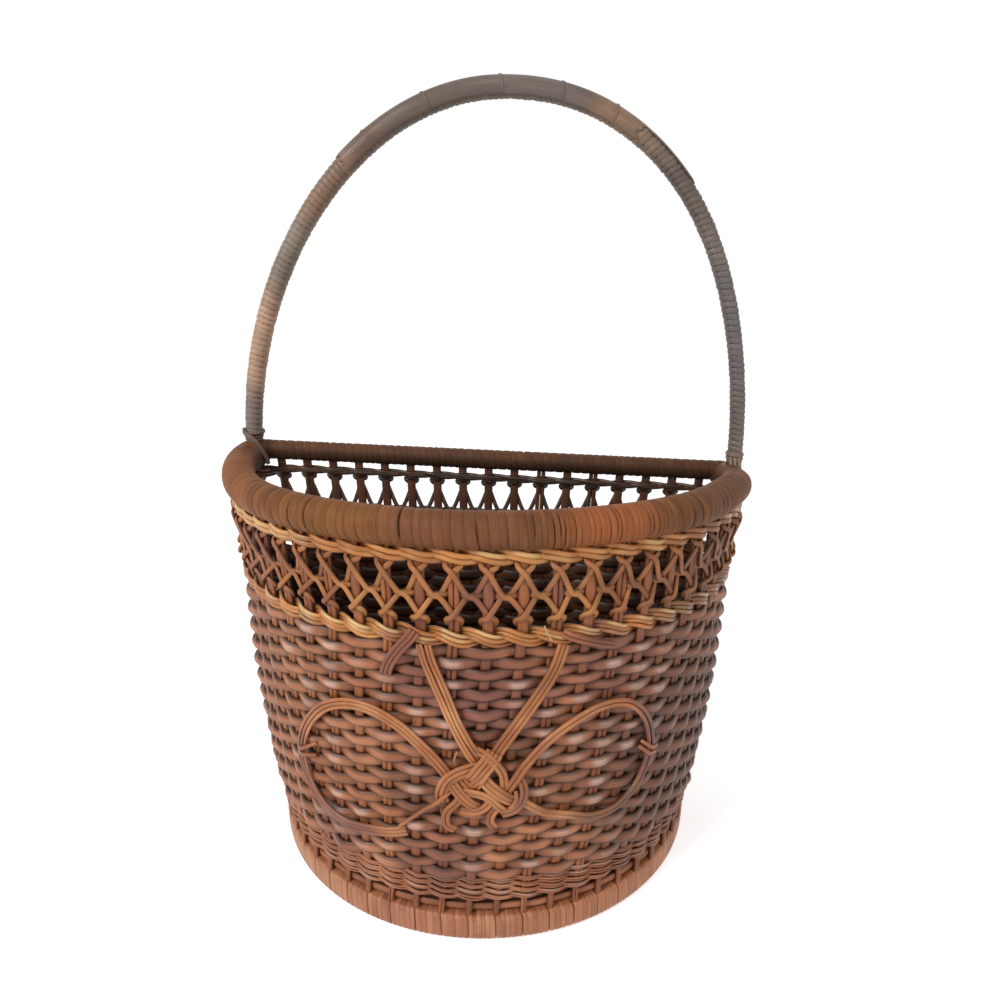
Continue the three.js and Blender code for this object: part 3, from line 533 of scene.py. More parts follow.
def make_weave():
    piece = Piece("weavers")
    first, last = TWINED_COURSES * STAKES, COURSES * STAKES - 1
    n = np.linspace(first, last, (last - first) * WEAVE_STEPS + 1)
    course = np.floor(n / STAKES)
    place = n - course * STAKES
    climb = smooth((place - STAKES + CLIMB_GAPS) / CLIMB_GAPS)
    stations = np.arange(COURSES * STAKES + 1)

    def varied(middle, spread):
        return np.interp(n, stations, rng.normal(middle, spread, len(stations)))

    z = WEAVE_BOTTOM + COURSE_PITCH * (course + 0.5 + climb) + varied(0, 0.22)
    wave = np.arcsin(WAVE_SHARPNESS * np.cos(math.pi * n)) / math.asin(WAVE_SHARPNESS)
    height = lerp(WEAVER_HEIGHT_CROSSING, WEAVER_HEIGHT_OVER, smooth(1.3 * np.abs(wave) - 0.2))
    height = COURSE_PITCH * height * varied(1, 0.08)
    height = height * lerp(1, WEAVER_HEIGHT_BEHIND, behind(place))
    points, outward = on_wall(place, z, WEAVER_SWING * wave * varied(1, 0.11) + belly(z))
    # Painted shade where the weaver turns in behind a stake, with a random tone along it
    shade = lerp(0.4, 1.0, smooth((wave + 0.8) / 1.0)) * varied(0.98, 0.1)
    lit_and_worn = np.zeros(len(n))
    for x, level, radius in LIT_AND_WORN_PLACES:
        distance = np.linalg.norm(points - front_point(x, level), axis=1)
        lit_and_worn = np.maximum(lit_and_worn, smooth(1.4 - distance / radius))
    luck = rng.random(len(stations))[np.round(n).astype(int)]
    # Painted highlight on the weaver's bulges in front of the stakes, where the spots also get glossier
    wear_and_highlight = 0.7 * lit_and_worn * smooth((luck - 0.4) / 0.4) * smooth((wave - 0.4) / 0.5)
    piece.sweep(
        points, outward, height, WEAVER_DEPTH, sides=12, roundness=2.5,
        shade=shade, wear_and_highlight=wear_and_highlight, inner=INSIDE_SHADE, edge=0.8,
    )
    piece.build(weave_look, ["woven_body"], WALL_STAINS)


# Stakes: thin flat rods side by side, from inside the foot up into the rim
STAKE_WIDTH = 4.4
STAKE_DEPTH = 2.2
STAKE_FOOT = 9
STAKE_NARROW = 0.62  # share of the width that the rods have at the foot
STAKE_PUSH = 0.9  # how far the rods stand out where they cross the foot rod
STAKE_STEPS = 60
# The dark stains on the right, also the one taken from the wall, are painted shade
STAKE_STAINS = [
    *WALL_STAINS,
    on_front(-97, 158, 26, PURPLE, 0.7),
    on_front(4, 158, 12, PURPLE, 0.8),
    on_front(30, 160, 12, PURPLE, 0.6),
    on_front(96, 158, 30, UMBER, 0.6),
    on_front(-12, 34, 9, VIOLET, 0.6),
]


def make_stakes():
    piece = Piece("stakes")
    for i in range(STAKES):
        rods = rng.integers(1, 3)
        in_front = i <= LAST_FRONT
        top = RIM_CENTRE if in_front else RIM_TOP - RIM_RADIUS_BACK
        z = np.linspace(STAKE_FOOT, top, STAKE_STEPS)
        push = STAKE_PUSH * smooth((TWINED_BOTTOM - z) / 4)
        wide = STAKE_WIDTH / rods * lerp(STAKE_NARROW, 1.0, smooth((z - TWINED_BOTTOM) / 10))
        sway = wobble(STAKE_STEPS, 0.12)
        for j in range(rods):
            across = (j - (rods - 1) / 2) * wide * 1.02 + sway
            place = i + across / (FRONT_PITCH if in_front else BACK_PITCH)
            points, outward = on_wall(place, z, belly(z) + push + rng.normal(0, 0.08))
            shade = rng.uniform(0.85, 1)
            piece.sweep(points, outward, wide, STAKE_DEPTH, roundness=2.6, shade=shade, inner=INSIDE_SHADE)
    nodes = [f"front_stake_{i + 1:02d}" for i in range(FRONT_STAKES)]
    piece.build(stake_look, nodes, STAKE_STAINS)


# Twining: two plies twisted round the stakes, each of a few canes side by side
TWINE_STEPS = 10
TWINE_DEPTH = 1.4
BACK_RAISE = 2.4  # the upper twining lies higher and is thinner along the back
BACK_TWINE_RISE = 0.4  # share of the front's rise


def twined(piece, bottom, top, canes, swing, rise, raise_behind=0.0):
    n = np.arange(2 * STAKES * TWINE_STEPS) / TWINE_STEPS
    place = np.mod(n, STAKES)
    turn = math.pi * n
    cane_width = (top - bottom - 2 * rise) / canes
    luck = rng.random((2 * STAKES + 1, canes))[np.round(n).astype(int)]
    for k in range(canes):
        shift = (k - (canes - 1) / 2) * cane_width * 0.97
        flat = lerp(1, BACK_TWINE_RISE, behind(place) * (raise_behind > 0))
        z = (bottom + top) / 2 + flat * (shift - rise * np.sin(turn)) + wobble(len(n), 0.12)
        z = z + raise_behind * behind(place)
        offset = swing * np.cos(turn) + wobble(len(n), 0.12)
        points, outward = on_wall(place, z, offset)
        # Painted shade where a cane turns behind the stakes and on the lower canes; painted highlight on
        # the front of the turns, more on the upper canes
        shade = lerp(0.6, 1.0, smooth((np.cos(turn) + 0.9) / 0.8)) * lerp(0.86, 1.0, (k + 1) / canes)
        wear_and_highlight = smooth((luck[:, k] - 0.5) / 0.3) * smooth((np.cos(turn) - 0.2) / 0.6)
        wear_and_highlight = wear_and_highlight * lerp(0.2, 0.6, k / canes)
        piece.sweep(
            points, outward, cane_width, TWINE_DEPTH, closed=True, roundness=2.1,
            shade=shade, wear_and_highlight=wear_and_highlight, inner=INSIDE_SHADE, edge=0.2,
        )


def make_twines():
    upper = Piece("upper_twining")
    top = UPPER_TWINE_TOP + 0.5
    twined(upper, OPENWORK_TOP - 0.4, top, canes=2, swing=2.0, rise=1.0, raise_behind=BACK_RAISE)
    # The dark stains on the right and along the back are painted shade
    upper.build(twine_look, ["upper_twine"], [
        on_front(-100, 175, 40, (222, 160, 104), 0.7),
        on_front(0, 175, 50, (228, 152, 82), 0.6),
        on_front(112, 175, 60, (140, 86, 50), 0.85),
        on_back(0, UPPER_TWINE_TOP, 150, (84, 58, 42), 0.9),
    ])
    lower = Piece("lower_twining")
    twined(lower, WEAVE_TOP - 0.1, OPENWORK_BOTTOM + 0.2, canes=3, swing=2.2, rise=1.5)
    # The strong dark stain on the right is painted shade
    lower.build(twine_look, ["lower_twine"], [
        on_front(-108, 142, 44, (166, 110, 70), 0.85),
        on_front(104, 142, 60, (132, 84, 52), 0.95),
        on_front(10, 141, 60, (186, 120, 62), 0.5),
        on_front(-30, 139, 10, PURPLE, 0.6),
        on_front(52, 141, 14, PURPLE, 0.6),
    ])
    bottom = Piece("bottom_twining")
    top = WEAVE_BOTTOM + TWINED_COURSES * COURSE_PITCH
    pitch = (top - TWINED_BOTTOM) / TWINED_ROWS
    for row in range(TWINED_ROWS):
        low = TWINED_BOTTOM + pitch * row
        twined(bottom, low - 0.15, low + pitch + 0.15, canes=2, swing=1.5, rise=0.6)
    bottom.build(weave_look, None, WALL_STAINS)


# Openwork: a level strand that passes behind the stakes, and two that loop round each stake by turns
STRAND_WIDTH = 2.3
STRAND_DEPTH = 1.4
MIDDLE_STRAND_DEPTH = 1.2
PLACE_STEP = 0.125  # of a stake's gap, in strands that run round the basket
LOOP_REACH = 2.9  # a loop's shoulders, out from the stake's middle
TOP_CROSSING = 3.0  # below the upper twine
TOP_SHOULDER = -0.2
TOP_BEHIND = -1.2
BOTTOM_CROSSING = 5.8  # above the lower twine
BOTTOM_SHOULDER = 2.9
BOTTOM_BEHIND = 0.8
CROSSING_SLOPE = 0.8  # half the drop of a strand where two cross at mid height
# The dark stains on the right and along the back are painted shade
OPENWORK_STAINS = [
    on_front(-97, 158, 26, PURPLE, 0.6),
    on_front(4, 160, 11, PURPLE, 0.6),
    on_front(30, 160, 10, PURPLE, 0.5),
    on_front(100, 156, 34, UMBER, 0.6),
    on_front(-30, 150, 30, (196, 134, 70), 0.7),
    on_front(36, 150, 22, (206, 146, 78), 0.6),
    on_back(0, 160.0, 150, (92, 62, 44), 0.9),
]


def loop_route(i, phase):
    """One strand's way round stake i and on to the middle of the next gap: place, height, offset"""
    side = LOOP_REACH / (FRONT_PITCH if i < LAST_FRONT else BACK_PITCH)
    front = STAKE_DEPTH / 2 + STRAND_DEPTH / 2
    at_top = (i + phase) % 2 == 0
    if at_top:
        top = OPENWORK_TOP + BACK_RAISE * behind(i)
        cross, shoulder, turn = (top - a for a in (TOP_CROSSING, TOP_SHOULDER, TOP_BEHIND))
    else:
        rises = (BOTTOM_CROSSING, BOTTOM_SHOULDER, BOTTOM_BEHIND)
        cross, shoulder, turn = (OPENWORK_BOTTOM + a for a in rises)
    cross += rng.normal(0, 0.35)
    slope = CROSSING_SLOPE if at_top else -CROSSING_SLOPE
    over = 1.2 if at_top else -0.4
    return [
        (i, cross, front + 0.1),
        (i + side * 0.8, lerp(cross, shoulder, 0.6), 1.4),
        (i + side, shoulder, 0.3),
        (i + side * 0.75, lerp(shoulder, turn, 0.8), -0.9),
        (i + side * 0.3, turn, -front + 0.2),
        (i - side * 0.3, turn, -front + 0.2),
        (i - side * 0.75, lerp(shoulder, turn, 0.8), -0.9),
        (i - side, shoulder, 0.3),
        (i - side * 0.8, lerp(cross, shoulder, 0.6), 1.9),
        (i, cross, front + STRAND_DEPTH),
        (i + 0.37, OPENWORK_MIDDLE + slope, over),
        (i + 0.63, OPENWORK_MIDDLE - slope, over),
    ]


def make_openwork():
    piece = Piece("openwork_strands")
    for phase in (0, 1):
        curve = spline([point for i in range(STAKES) for point in loop_route(i, phase)], 5)
        points, outward = on_wall(curve[:, 0], curve[:, 1], curve[:, 2])
        # Painted shade where the strand passes behind the stakes
        shade = lerp(0.5, 1.0, smooth((curve[:, 2] + 1.8) / 2.4))
        piece.sweep(
            points, outward, STRAND_WIDTH, STRAND_DEPTH, roundness=2.3, shade=shade, inner=INSIDE_SHADE
        )
    places = np.arange(0, STAKES, PLACE_STEP)
    offset = -0.4 - 1.5 * np.cos(math.tau * places)
    points, outward = on_wall(places, OPENWORK_MIDDLE + wobble(len(places), 0.25), offset)
    piece.sweep(
        points, outward, STRAND_WIDTH, MIDDLE_STRAND_DEPTH, closed=True, roundness=2.4,
        shade=0.95, inner=INSIDE_SHADE,
    )
    nodes = ["mid_strand", "cross_strand_a", "cross_strand_b"]
    piece.build(strand_look, nodes, OPENWORK_STAINS)


# Windings: a strip wound round a core, with a groove between its turns
STRIP_WIDTH = 2.6
CRACK_FROM = 0.5  # boundaries deeper than this open into a crack along part of their length


def wound(
    piece, centres, outward, up, half_out, half_up, turns, grooves, groove, sides, closed,
    roundness, round_length, painted_shade_inside=1.0, cracks=None,
):
    """turns counts the strip's turns at each station, grooves holds how deep each boundary is"""
    angle = math.tau * np.arange(sides) / sides - math.pi
    phase = turns[:, None] + angle[None, :] / math.tau
    edge = np.abs(2 * (phase - np.floor(phase)) - 1)
    boundary = np.round(phase).astype(int) % len(grooves)
    deep = grooves[boundary]
    if cracks is not None:
        middle, length = cracks[boundary].transpose(2, 0, 1)
        away = np.abs(np.mod(angle[None, :] - middle + math.pi, math.tau) - math.pi)
        deep = np.where(deep > CRACK_FROM, lerp(0.3, deep, smooth(3 * (1 - away / length))), deep)
    cut = groove * (0.2 * edge**2 + deep * edge**8)
    u, v = section(angle, roundness)
    a = (np.reshape(half_out, (-1, 1)) - cut) * u[None, :]
    b = (np.reshape(half_up, (-1, 1)) - cut) * v[None, :]
    rings = centres[:, None, :] + a[..., None] * outward[:, None, :] + b[..., None] * up[:, None, :]
    # Painted shade in the grooves and cracks between turns and on the inner, lower side
    inward = smooth(0.35 - u) * smooth((0.8 - v) / 1.1)
    shade = (1 - 0.85 * deep * edge**10) * lerp(1.0, painted_shade_inside, inward)[None, :]
    piece.skin(rings, closed, round_length, shade)
    lay = piece.lays[-1].reshape(len(turns), sides, 3)
    lay[..., 0] = angle[None, :] * round_length / math.tau
    lay[..., 1] = phase * STRIP_WIDTH
    lay[..., 2] = np.floor(phase) * LAY_STEP


def strip_stations(strips_between, steps, spread, shallow, deep):
    """Places round the wall, the strip's turns there, and each boundary's depth, deep at the stakes"""
    places, turns, grooves = [], [], []
    done = 0
    for i in range(STAKES):
        strips = strips_between(i)
        t = np.arange(steps) / steps
        widths = np.clip(rng.normal(1, spread, strips), 0.6, 1.5)
        knots = np.concatenate([[0], np.cumsum(widths / widths.sum())])
        places.append(i + t)
        turns.append(done + np.interp(t, knots, np.arange(strips + 1)))
        grooves.append(rng.uniform(*deep, 1))
        grooves.append(rng.uniform(*shallow, strips - 1))
        done += strips
    return (np.concatenate(a) for a in (places, turns, grooves))


def ring_frame(position, outline, height, flare=0.0):
    """Centres, outward and up directions round an outline, up leaning outwards by flare"""
    x, y = plan(position, outline, 0.0)
    x1, y1 = plan(position, outline, 1.0)
    outward = unit(joined(x1 - x, y1 - y, 0.0))
    return joined(x, y, height), outward, UP + flare * outward


# Rim: the winding round the bow and the back bar
RIM_IN = 1.3  # the wrapping's centre line, in from the frame's at the sides
RIM_OUTLINE = (
    RIM_WIDTH / 2 - RIM_RADIUS - RIM_IN,
    BACK_FACE - RIM_DEPTH + RIM_RADIUS,
    BACK_FACE - RIM_RADIUS_BACK,
)
RIM_SWELL = 0.5  # added to the winding's radius in front
RIM_GROOVE = 0.7
RIM_NARROW_FROM = 16  # the first and last stake with narrower strips after it
RIM_NARROW_TO = 20
RIM_CRACKED = 0.4  # share of the boundaries with a crack
RIM_BOW_WIDTH = 8.4
RIM_BAR_WIDTH = 6.2


def strips_on_rim(i):
    return 6 if RIM_NARROW_FROM <= i <= RIM_NARROW_TO else rng.integers(3, 5)


def rim_radius(position):
    p = np.mod(position, 4)
    past_front = np.where(p < 1, 0, np.minimum(p, 5 - p))
    return lerp(RIM_RADIUS, RIM_RADIUS_BACK, np.clip((past_front - 1.5) / 0.5, 0, 1))


def make_rim():
    piece = Piece("rim_winding")
    places, turns, grooves = strip_stations(
        strips_on_rim, steps=64, spread=0.22, shallow=(0.3, 0.49), deep=(0.35, 0.49)
    )
    cracked = rng.random(len(grooves)) < RIM_CRACKED
    grooves = np.where(cracked, rng.uniform(0.7, 2.0, len(grooves)), grooves)
    cracks = np.stack([rng.uniform(-0.8, 0.8, len(grooves)), rng.uniform(0.7, 1.6, len(grooves))], axis=1)
    position = position_of(places)
    radius = rim_radius(position)
    centres, outward, up = ring_frame(position, RIM_OUTLINE, RIM_TOP - radius)
    radius = radius + RIM_SWELL * (radius - RIM_RADIUS_BACK) / (RIM_RADIUS - RIM_RADIUS_BACK)
    wound(
        piece, centres, outward, up, radius, radius, turns, grooves, RIM_GROOVE,
        sides=28, closed=True, roundness=2.1, round_length=43.0, painted_shade_inside=0.4, cracks=cracks,
    )
    # The dark stains along the back and on the right are painted shade
    piece.build(rim_look, ["rim_wrap"], [
        on_back(0, RIM_TOP, 110, (90, 62, 46), 0.85),
        on_back(-70, RIM_TOP, 90, (94, 64, 48), 0.85),
        on_back(80, RIM_TOP, 80, (74, 52, 40), 0.85),
        on_front(-112, 186, 52, (148, 92, 54), 0.9),
        on_front(-58, 186, 36, (138, 90, 46), 0.8),
        on_front(0, 186, 44, (126, 80, 54), 0.8),
        on_front(52, 186, 27, (170, 98, 58), 0.95),
        on_front(106, 186, 48, (112, 76, 52), 0.9),
    ])


def make_rim_rods():
    """The bow and the back bar inside the winding"""
    rods = Piece("rim_rods")
    centres = ring_frame(np.linspace(0.0005, 0.9995, 160), RIM_OUTLINE, RIM_CENTRE)[0]
    rods.sweep(centres, UP, RIM_BOW_WIDTH, RIM_BOW_WIDTH, sides=12)
    half, _, back = RIM_OUTLINE
    reach = half - CORNER_RADIUS + 1.6
    x = np.linspace(-reach, reach, 30)
    centres = joined(x, back, RIM_TOP - RIM_RADIUS_BACK)
    rods.sweep(centres, UP, RIM_BAR_WIDTH, RIM_BAR_WIDTH, sides=12)
    rods.build(core_look, ["rim_bow", "rim_back_bar"])


# Foot: the winding stands out a little in front and flares upwards, with a thin rod above it
FOOT_HALF = 3.8
FOOT_FLARE = 0.04
FOOT_REACH = 1.0
FOOT_GROOVE = 0.55
FOOT_ROD_HEIGHT = 3.3
FOOT_ROD_DEPTH = 2.2


def make_foot():
    piece = Piece("foot_winding")
    places, turns, grooves = strip_stations(
        lambda i: rng.integers(4, 7), steps=84, spread=0.24, shallow=(0.15, 0.6), deep=(1.1, 1.9)
    )
    position = position_of(places + TWIST)
    front = BACK_FACE - FOOT_DEPTH + FOOT_HALF - FOOT_REACH
    outline = (FOOT_WIDTH / 2 - FOOT_HALF, front, BACK_FACE - BACK_INSET)
    centres, outward, up = ring_frame(position, outline, FOOT_HEIGHT / 2, FOOT_FLARE)
    wound(
        piece, centres, outward, up, FOOT_HALF, FOOT_HEIGHT / 2, turns, grooves, FOOT_GROOVE,
        sides=40, closed=True, roundness=4.6, round_length=36.0,
    )
    piece.build(foot_look, ["foot_wrap"], [
        on_front(-80, 6, 60, (202, 140, 98), 0.8),
        on_front(-24, 6, 22, (188, 124, 98), 0.5),
        on_front(64, 6, 50, (192, 124, 80), 0.8),
    ])
    rod = Piece("foot_rod_strands")
    places = np.arange(0, STAKES, PLACE_STEP)
    z = FOOT_ROD_MIDDLE + wobble(len(places), 0.1)
    points, outward = on_wall(places, z, -1.2 + wobble(len(places), 0.15))
    rod.sweep(
        points, outward, FOOT_ROD_HEIGHT, FOOT_ROD_DEPTH, sides=10, closed=True, roundness=2.6,
        shade=0.95, inner=INSIDE_SHADE, edge=0.3,
    )
    rod.build(weave_look, ["foot_rod"])


# Handle: an arch that leans a little to the right, wound from end to end
HANDLE_POWER_LEFT = 2.0  # 2 is an ellipse, more is squarer
HANDLE_POWER_RIGHT = 2.15
HANDLE_MIDDLE = 2.0
HANDLE_HALF = 121.6
HANDLE_LEAN = 4.3
HANDLE_CORE_RADIUS = 2.6
HANDLE_SHARES = [0, 0.12, 0.3, 0.5, 0.7, 0.88, 1]  # of the arch, from its left end, for the radii
HANDLE_RADII = [4.3, 4.8, 5.1, 4.8, 4.4, 3.8, 3.7]
HANDLE_STRIP_TURN = 2.7
HANDLE_TURN_STEPS = 9
HANDLE_GROOVE = 0.55
STRIP_FROM = 0.285
STRIP_TO = 0.745
STRIP_FRONT_TO = 0.667  # the canes on the front end here, those on top run on
STRIP_ANGLES = np.arange(-0.9, 2.2, 0.42)  # each cane's place, from the top towards the front
STRIP_CANE_WIDTH = 2.8
STRIP_CANE_DEPTH = 0.8
STRIP_TIE_WIDTH = 1.5
STRIP_TIE_DEPTH = 0.6
STRIP_TIES = (0.33, 0.405, 0.495, 0.56, 0.625)
ARCH_TOP = core_high[2] - HANDLE_CORE_RADIUS
ARCH_FOOT = RIM_TOP + 1


def arch(share):
    c, s = np.cos(math.pi * share), np.sin(math.pi * share)
    power = 2 / np.where(c > 0, HANDLE_POWER_LEFT, HANDLE_POWER_RIGHT)
    rise = np.maximum(s, 0) ** power
    x = HANDLE_MIDDLE - HANDLE_HALF * np.sign(c) * np.abs(c) ** power + HANDLE_LEAN * rise
    return joined(x, LEG_Y, ARCH_FOOT + (ARCH_TOP - ARCH_FOOT) * rise)


def on_arch(share, radius, tint, strength):
    return arch(np.array([share]))[0], radius, tint, strength


def on_handle(share, angle):
    """The arch's middle, the direction outwards at an angle from its top towards the front, its radius"""
    centres = arch(share)
    top = unit(np.cross(FORWARD, arch(share + 0.001) - arch(share - 0.001)))
    top = top * np.sign(top[:, 2:])
    angle = np.reshape(angle, (-1, 1))
    out = top * np.cos(angle) + FORWARD * np.sin(angle)
    return centres, out, np.interp(share, HANDLE_SHARES, HANDLE_RADII)


HANDLE_STAINS = [
    on_arch(0.02, 22, (140, 122, 116), 0.9),
    on_arch(0.10, 38, (210, 168, 138), 0.9),
    on_arch(0.19, 24, (152, 136, 120), 0.9),
    on_arch(0.27, 30, (146, 112, 88), 0.9),
    on_arch(0.33, 16, (116, 82, 62), 0.9),
    on_arch(0.40, 30, (102, 88, 76), 0.9),
    on_arch(0.52, 34, (116, 104, 96), 0.9),
    on_arch(0.64, 24, (156, 122, 92), 0.85),
    on_arch(0.74, 24, (94, 80, 72), 0.9),
    on_arch(0.90, 70, (108, 103, 102), 0.9),
]


def make_handle_winding():
    fine = np.linspace(0, 1, 6001)
    length = length_along(arch(fine))
    total = int(length[-1] / HANDLE_STRIP_TURN)
    turns = np.arange(total * HANDLE_TURN_STEPS + 1) / HANDLE_TURN_STEPS
    share = np.interp(turns / total * length[-1], length, fine)
    centres = arch(share)
    side = unit(np.cross(unit(np.gradient(centres, axis=0)), FORWARD))
    outward = np.broadcast_to(FORWARD, centres.shape)
    radius = np.interp(share, HANDLE_SHARES, HANDLE_RADII) + wobble(len(share), 0.08)
    piece = Piece("handle_winding")
    grooves = rng.uniform(0.5, 1.0, total)
    wound(
        piece, centres, outward, side, radius, radius, turns, grooves, HANDLE_GROOVE,
        sides=18, closed=False, roundness=2.0, round_length=28.0,
    )
    piece.build(handle_look, ["handle_wrap"], HANDLE_STAINS)


def make_handle_rod():
    core = Piece("handle_rod")
    ends = np.array([[0.0, 0.0, core_low[2] - ARCH_FOOT]])
    centres = arch(np.linspace(0, 1, 180))
    centres = np.concatenate([centres[:1] + ends, centres, centres[-1:] + ends])
    width = 2 * HANDLE_CORE_RADIUS
    core.sweep(centres, FORWARD, width, width, sides=10)
    core.build(handle_look, ["handle_core"])


def make_handle_strip():
    """Thin canes side by side over the top and front of the arch, tied down in places"""
    strip = Piece("handle_top_strip")
    for angle in STRIP_ANGLES:
        end = STRIP_TO if angle < 0.6 else STRIP_FRONT_TO
        share = np.linspace(STRIP_FROM + rng.uniform(0, 0.012), end - rng.uniform(0, 0.012), 200)
        centres, out, radius = on_handle(share, angle)
        taper = smooth(np.minimum(share - share[0], share[-1] - share) / 0.008 + 0.35)
        width, depth = STRIP_CANE_WIDTH * taper, STRIP_CANE_DEPTH * taper
        at = centres + out * (radius + 0.2)[:, None]
        strip.sweep(at, out, width, depth, sides=10, roundness=3.2, shade=rng.uniform(0.95, 1.0))
    for middle in STRIP_TIES:
        angle = np.linspace(STRIP_ANGLES[0] - 0.3, STRIP_ANGLES[-1] + 0.3, 16)
        centres, out, radius = on_handle(middle + 0.002 * angle, angle)
        reach = radius + lerp(0.75, 0.1, smooth(np.abs(angle - angle.mean()) - 1.1))
        at = centres + out * reach[:, None]
        strip.sweep(at, out, STRIP_TIE_WIDTH, STRIP_TIE_DEPTH, roundness=2.4, shade=0.95)
    strip.build(strip_look, ["handle_strip"], HANDLE_STAINS)


# Collars: rings round the handle's ends and canes from there over the rim's corners
COLLARS = {  # share of the arch, reach of the rings, bulge of the top one, stain
    "left": (0.0, 4.1, 1.2, (98, 76, 64)),
    "right": (1.0, 3.6, 0.6, (132, 106, 92)),
}
COLLAR_RING_WIDTH = 1.9
COLLAR_CANE_DEPTH = 1.5
# Routes hold x, forward and z from the corner
LEFT_DRAPE = [(-4.5, 2.0, 6.0), (-3.0, 4.9, 4.8), (0.2, 6.2, 3.0), (3.4, 6.6, 0.0), (5.0, 6.4, -4.4)]
RIGHT_DRAPE = [(-5.4, 3.0, 1.0), (-6.0, 5.6, -1.5), (-5.0, 7.2, -4.4)]


def collar_canes(name):
    """Route and width of each cane over the rim's corner"""
    if name == "left":
        return [([(x + 1.2 * k, y, z - 2.0 * k) for x, y, z in LEFT_DRAPE], 2.4) for k in range(4)]
    strips = [-2.6 + 2.1 * k for k in range(3)]
    canes = [([(x, 3.2, 3.6), (x, 4.4, 1.2), (x, 5.8, -1.6), (x * 0.9, 6.8, -5.0)], 1.9) for x in strips]
    return [*canes, (RIGHT_DRAPE, 2.2)]


def make_collars():
    for name, (share, reach, bulge, tint) in COLLARS.items():
        foot = arch(np.array([share]))[0]
        corner = np.array([foot[0], LEG_Y, RIM_TOP])
        collar = Piece("collar_winding_" + name)
        for down, radius in ((5.0, reach + bulge), (7.0, reach + 0.4), (8.6, reach)):
            turn = np.linspace(0, math.tau, 40, endpoint=False)
            outward = joined(np.cos(turn), np.sin(turn), 0.0)
            points = outward * (radius - 0.6) + np.array([foot[0], LEG_Y, COLLAR_TOP - down])
            points[:, 2] += 0.5 * np.sin(turn)
            collar.sweep(points, outward, COLLAR_RING_WIDTH, COLLAR_RING_WIDTH, closed=True, roundness=2.3)
        for route, width in collar_canes(name):
            curve = spline(route, 6)
            outward = joined(0.5 * curve[:, 0], -3.0, 0.25 * curve[:, 1])
            points = corner + curve * np.array([1, -1, 1])
            collar.sweep(points, outward, width, COLLAR_CANE_DEPTH, roundness=2.3)
        collar.build(handle_look, ["handle_collar_" + name], [(corner, 30, tint, 0.95)])


# Front ornament: routes hold x, z and the lift of the cane's middle from the woven face
LEFT_LEG_OUTER = [
    (-20.2, 138.6, -0.2), (-17.9, 131, 0.8), (-14.9, 122.6, 0.9), (-11.7, 114.2, 0.9), (-8.7, 106.5, 1.0),
    (-5.6, 99.8, 1.6), (-2.8, 94.6, 2.2), (0.0, 89.4, 1.8), (2.2, 86.4, 0.8), (4.2, 83.0, 0.5),
]
LEFT_LEG_INNER = [
    (-16.7, 138.8, -0.2), (-14.6, 131.5, 0.8), (-11.6, 123.4, 0.9), (-8.4, 114.4, 0.9), (-5.8, 107.2, 1.0),
    (-3.0, 101.4, 1.6), (-0.2, 96.3, 2.2), (2.8, 91.2, 1.8), (4.8, 88.0, 0.6),
]
TOP_ARC = [
    (-3.0, 92.2, 0.6), (0.8, 92.9, 0.9), (4.2, 92.0, 1.8), (7.4, 90.0, 2.6), (10.7, 86.4, 2.7),
    (12.9, 81.9, 2.0), (13.3, 76.4, 1.6), (12.6, 72.3, 0.6),
]
RIGHT_LEG = [
    (36.1, 138.4, -0.2), (33.8, 131.0, 0.8), (31.1, 124.5, 0.9), (27.6, 118.0, 0.9), (24.0, 112.1, 0.9),
    (20.2, 106.4, 1.0), (16.1, 100.4, 1.3), (12.1, 94.2, 1.0), (9.5, 89.8, 0.9), (6.5, 85.9, 2.3),
    (3.9, 80.6, 2.5), (1.4, 75.5, 0.9),
]
LEFT_ARC = [
    (3.7, 85.0, 0.9), (0.2, 84.1, 1.2), (-4.6, 82.7, 2.4), (-8.8, 79.6, 2.6), (-11.0, 75.2, 2.4),
    (-11.7, 70.8, 1.3), (-11.0, 67.2, 0.8),
]
LEFT_LOOP = [
    (-27.0, 48.4, -0.3), (-34.0, 46.6, 0.6), (-43, 45.3, 0.9), (-56.2, 44, 0.9), (-68.1, 48.3, 0.9),
    (-75.3, 58.1, 0.9), (-78, 72.2, 0.9), (-74.7, 86.2, 0.9), (-64.9, 99.4, 0.9), (-52.3, 105.5, 0.9),
    (-40.2, 105.2, 0.9), (-28.5, 100, 0.9), (-18.9, 91.9, 1.0), (-14.2, 87.2, 1.2), (-10.4, 82.3, 0.8),
    (-7.2, 77.8, 2.4), (-4.0, 72.8, 2.8), (-0.4, 68.4, 2.4), (3.1, 65.0, 0.9),
]
CENTRE_BAND = [(9.6, 91.8, 1.4), (7.6, 88.8, 2.8), (4.8, 85.2, 3.2), (2.2, 81.4, 2.8), (0.6, 78.8, 1.2)]
LADDER = [(-5.7, 82, 0.8), (-3.3, 77.7, 1.3), (-0.4, 74, 0.8)]
THIRD_BAND = [
    (-4.9, 73.8, 0.9), (-1, 73.7, 2.0), (4.3, 72.7, 2.4), (7.9, 70.6, 2.6), (10.8, 67.1, 2.4),
    (13.5, 63.1, 1.0),
]
SECOND_BAND = [
    (4.9, 79.7, 0.9), (7.8, 76.9, 2.4), (11.7, 73.4, 2.8), (15.2, 70.3, 2.2), (17.6, 68.6, 0.9),
]
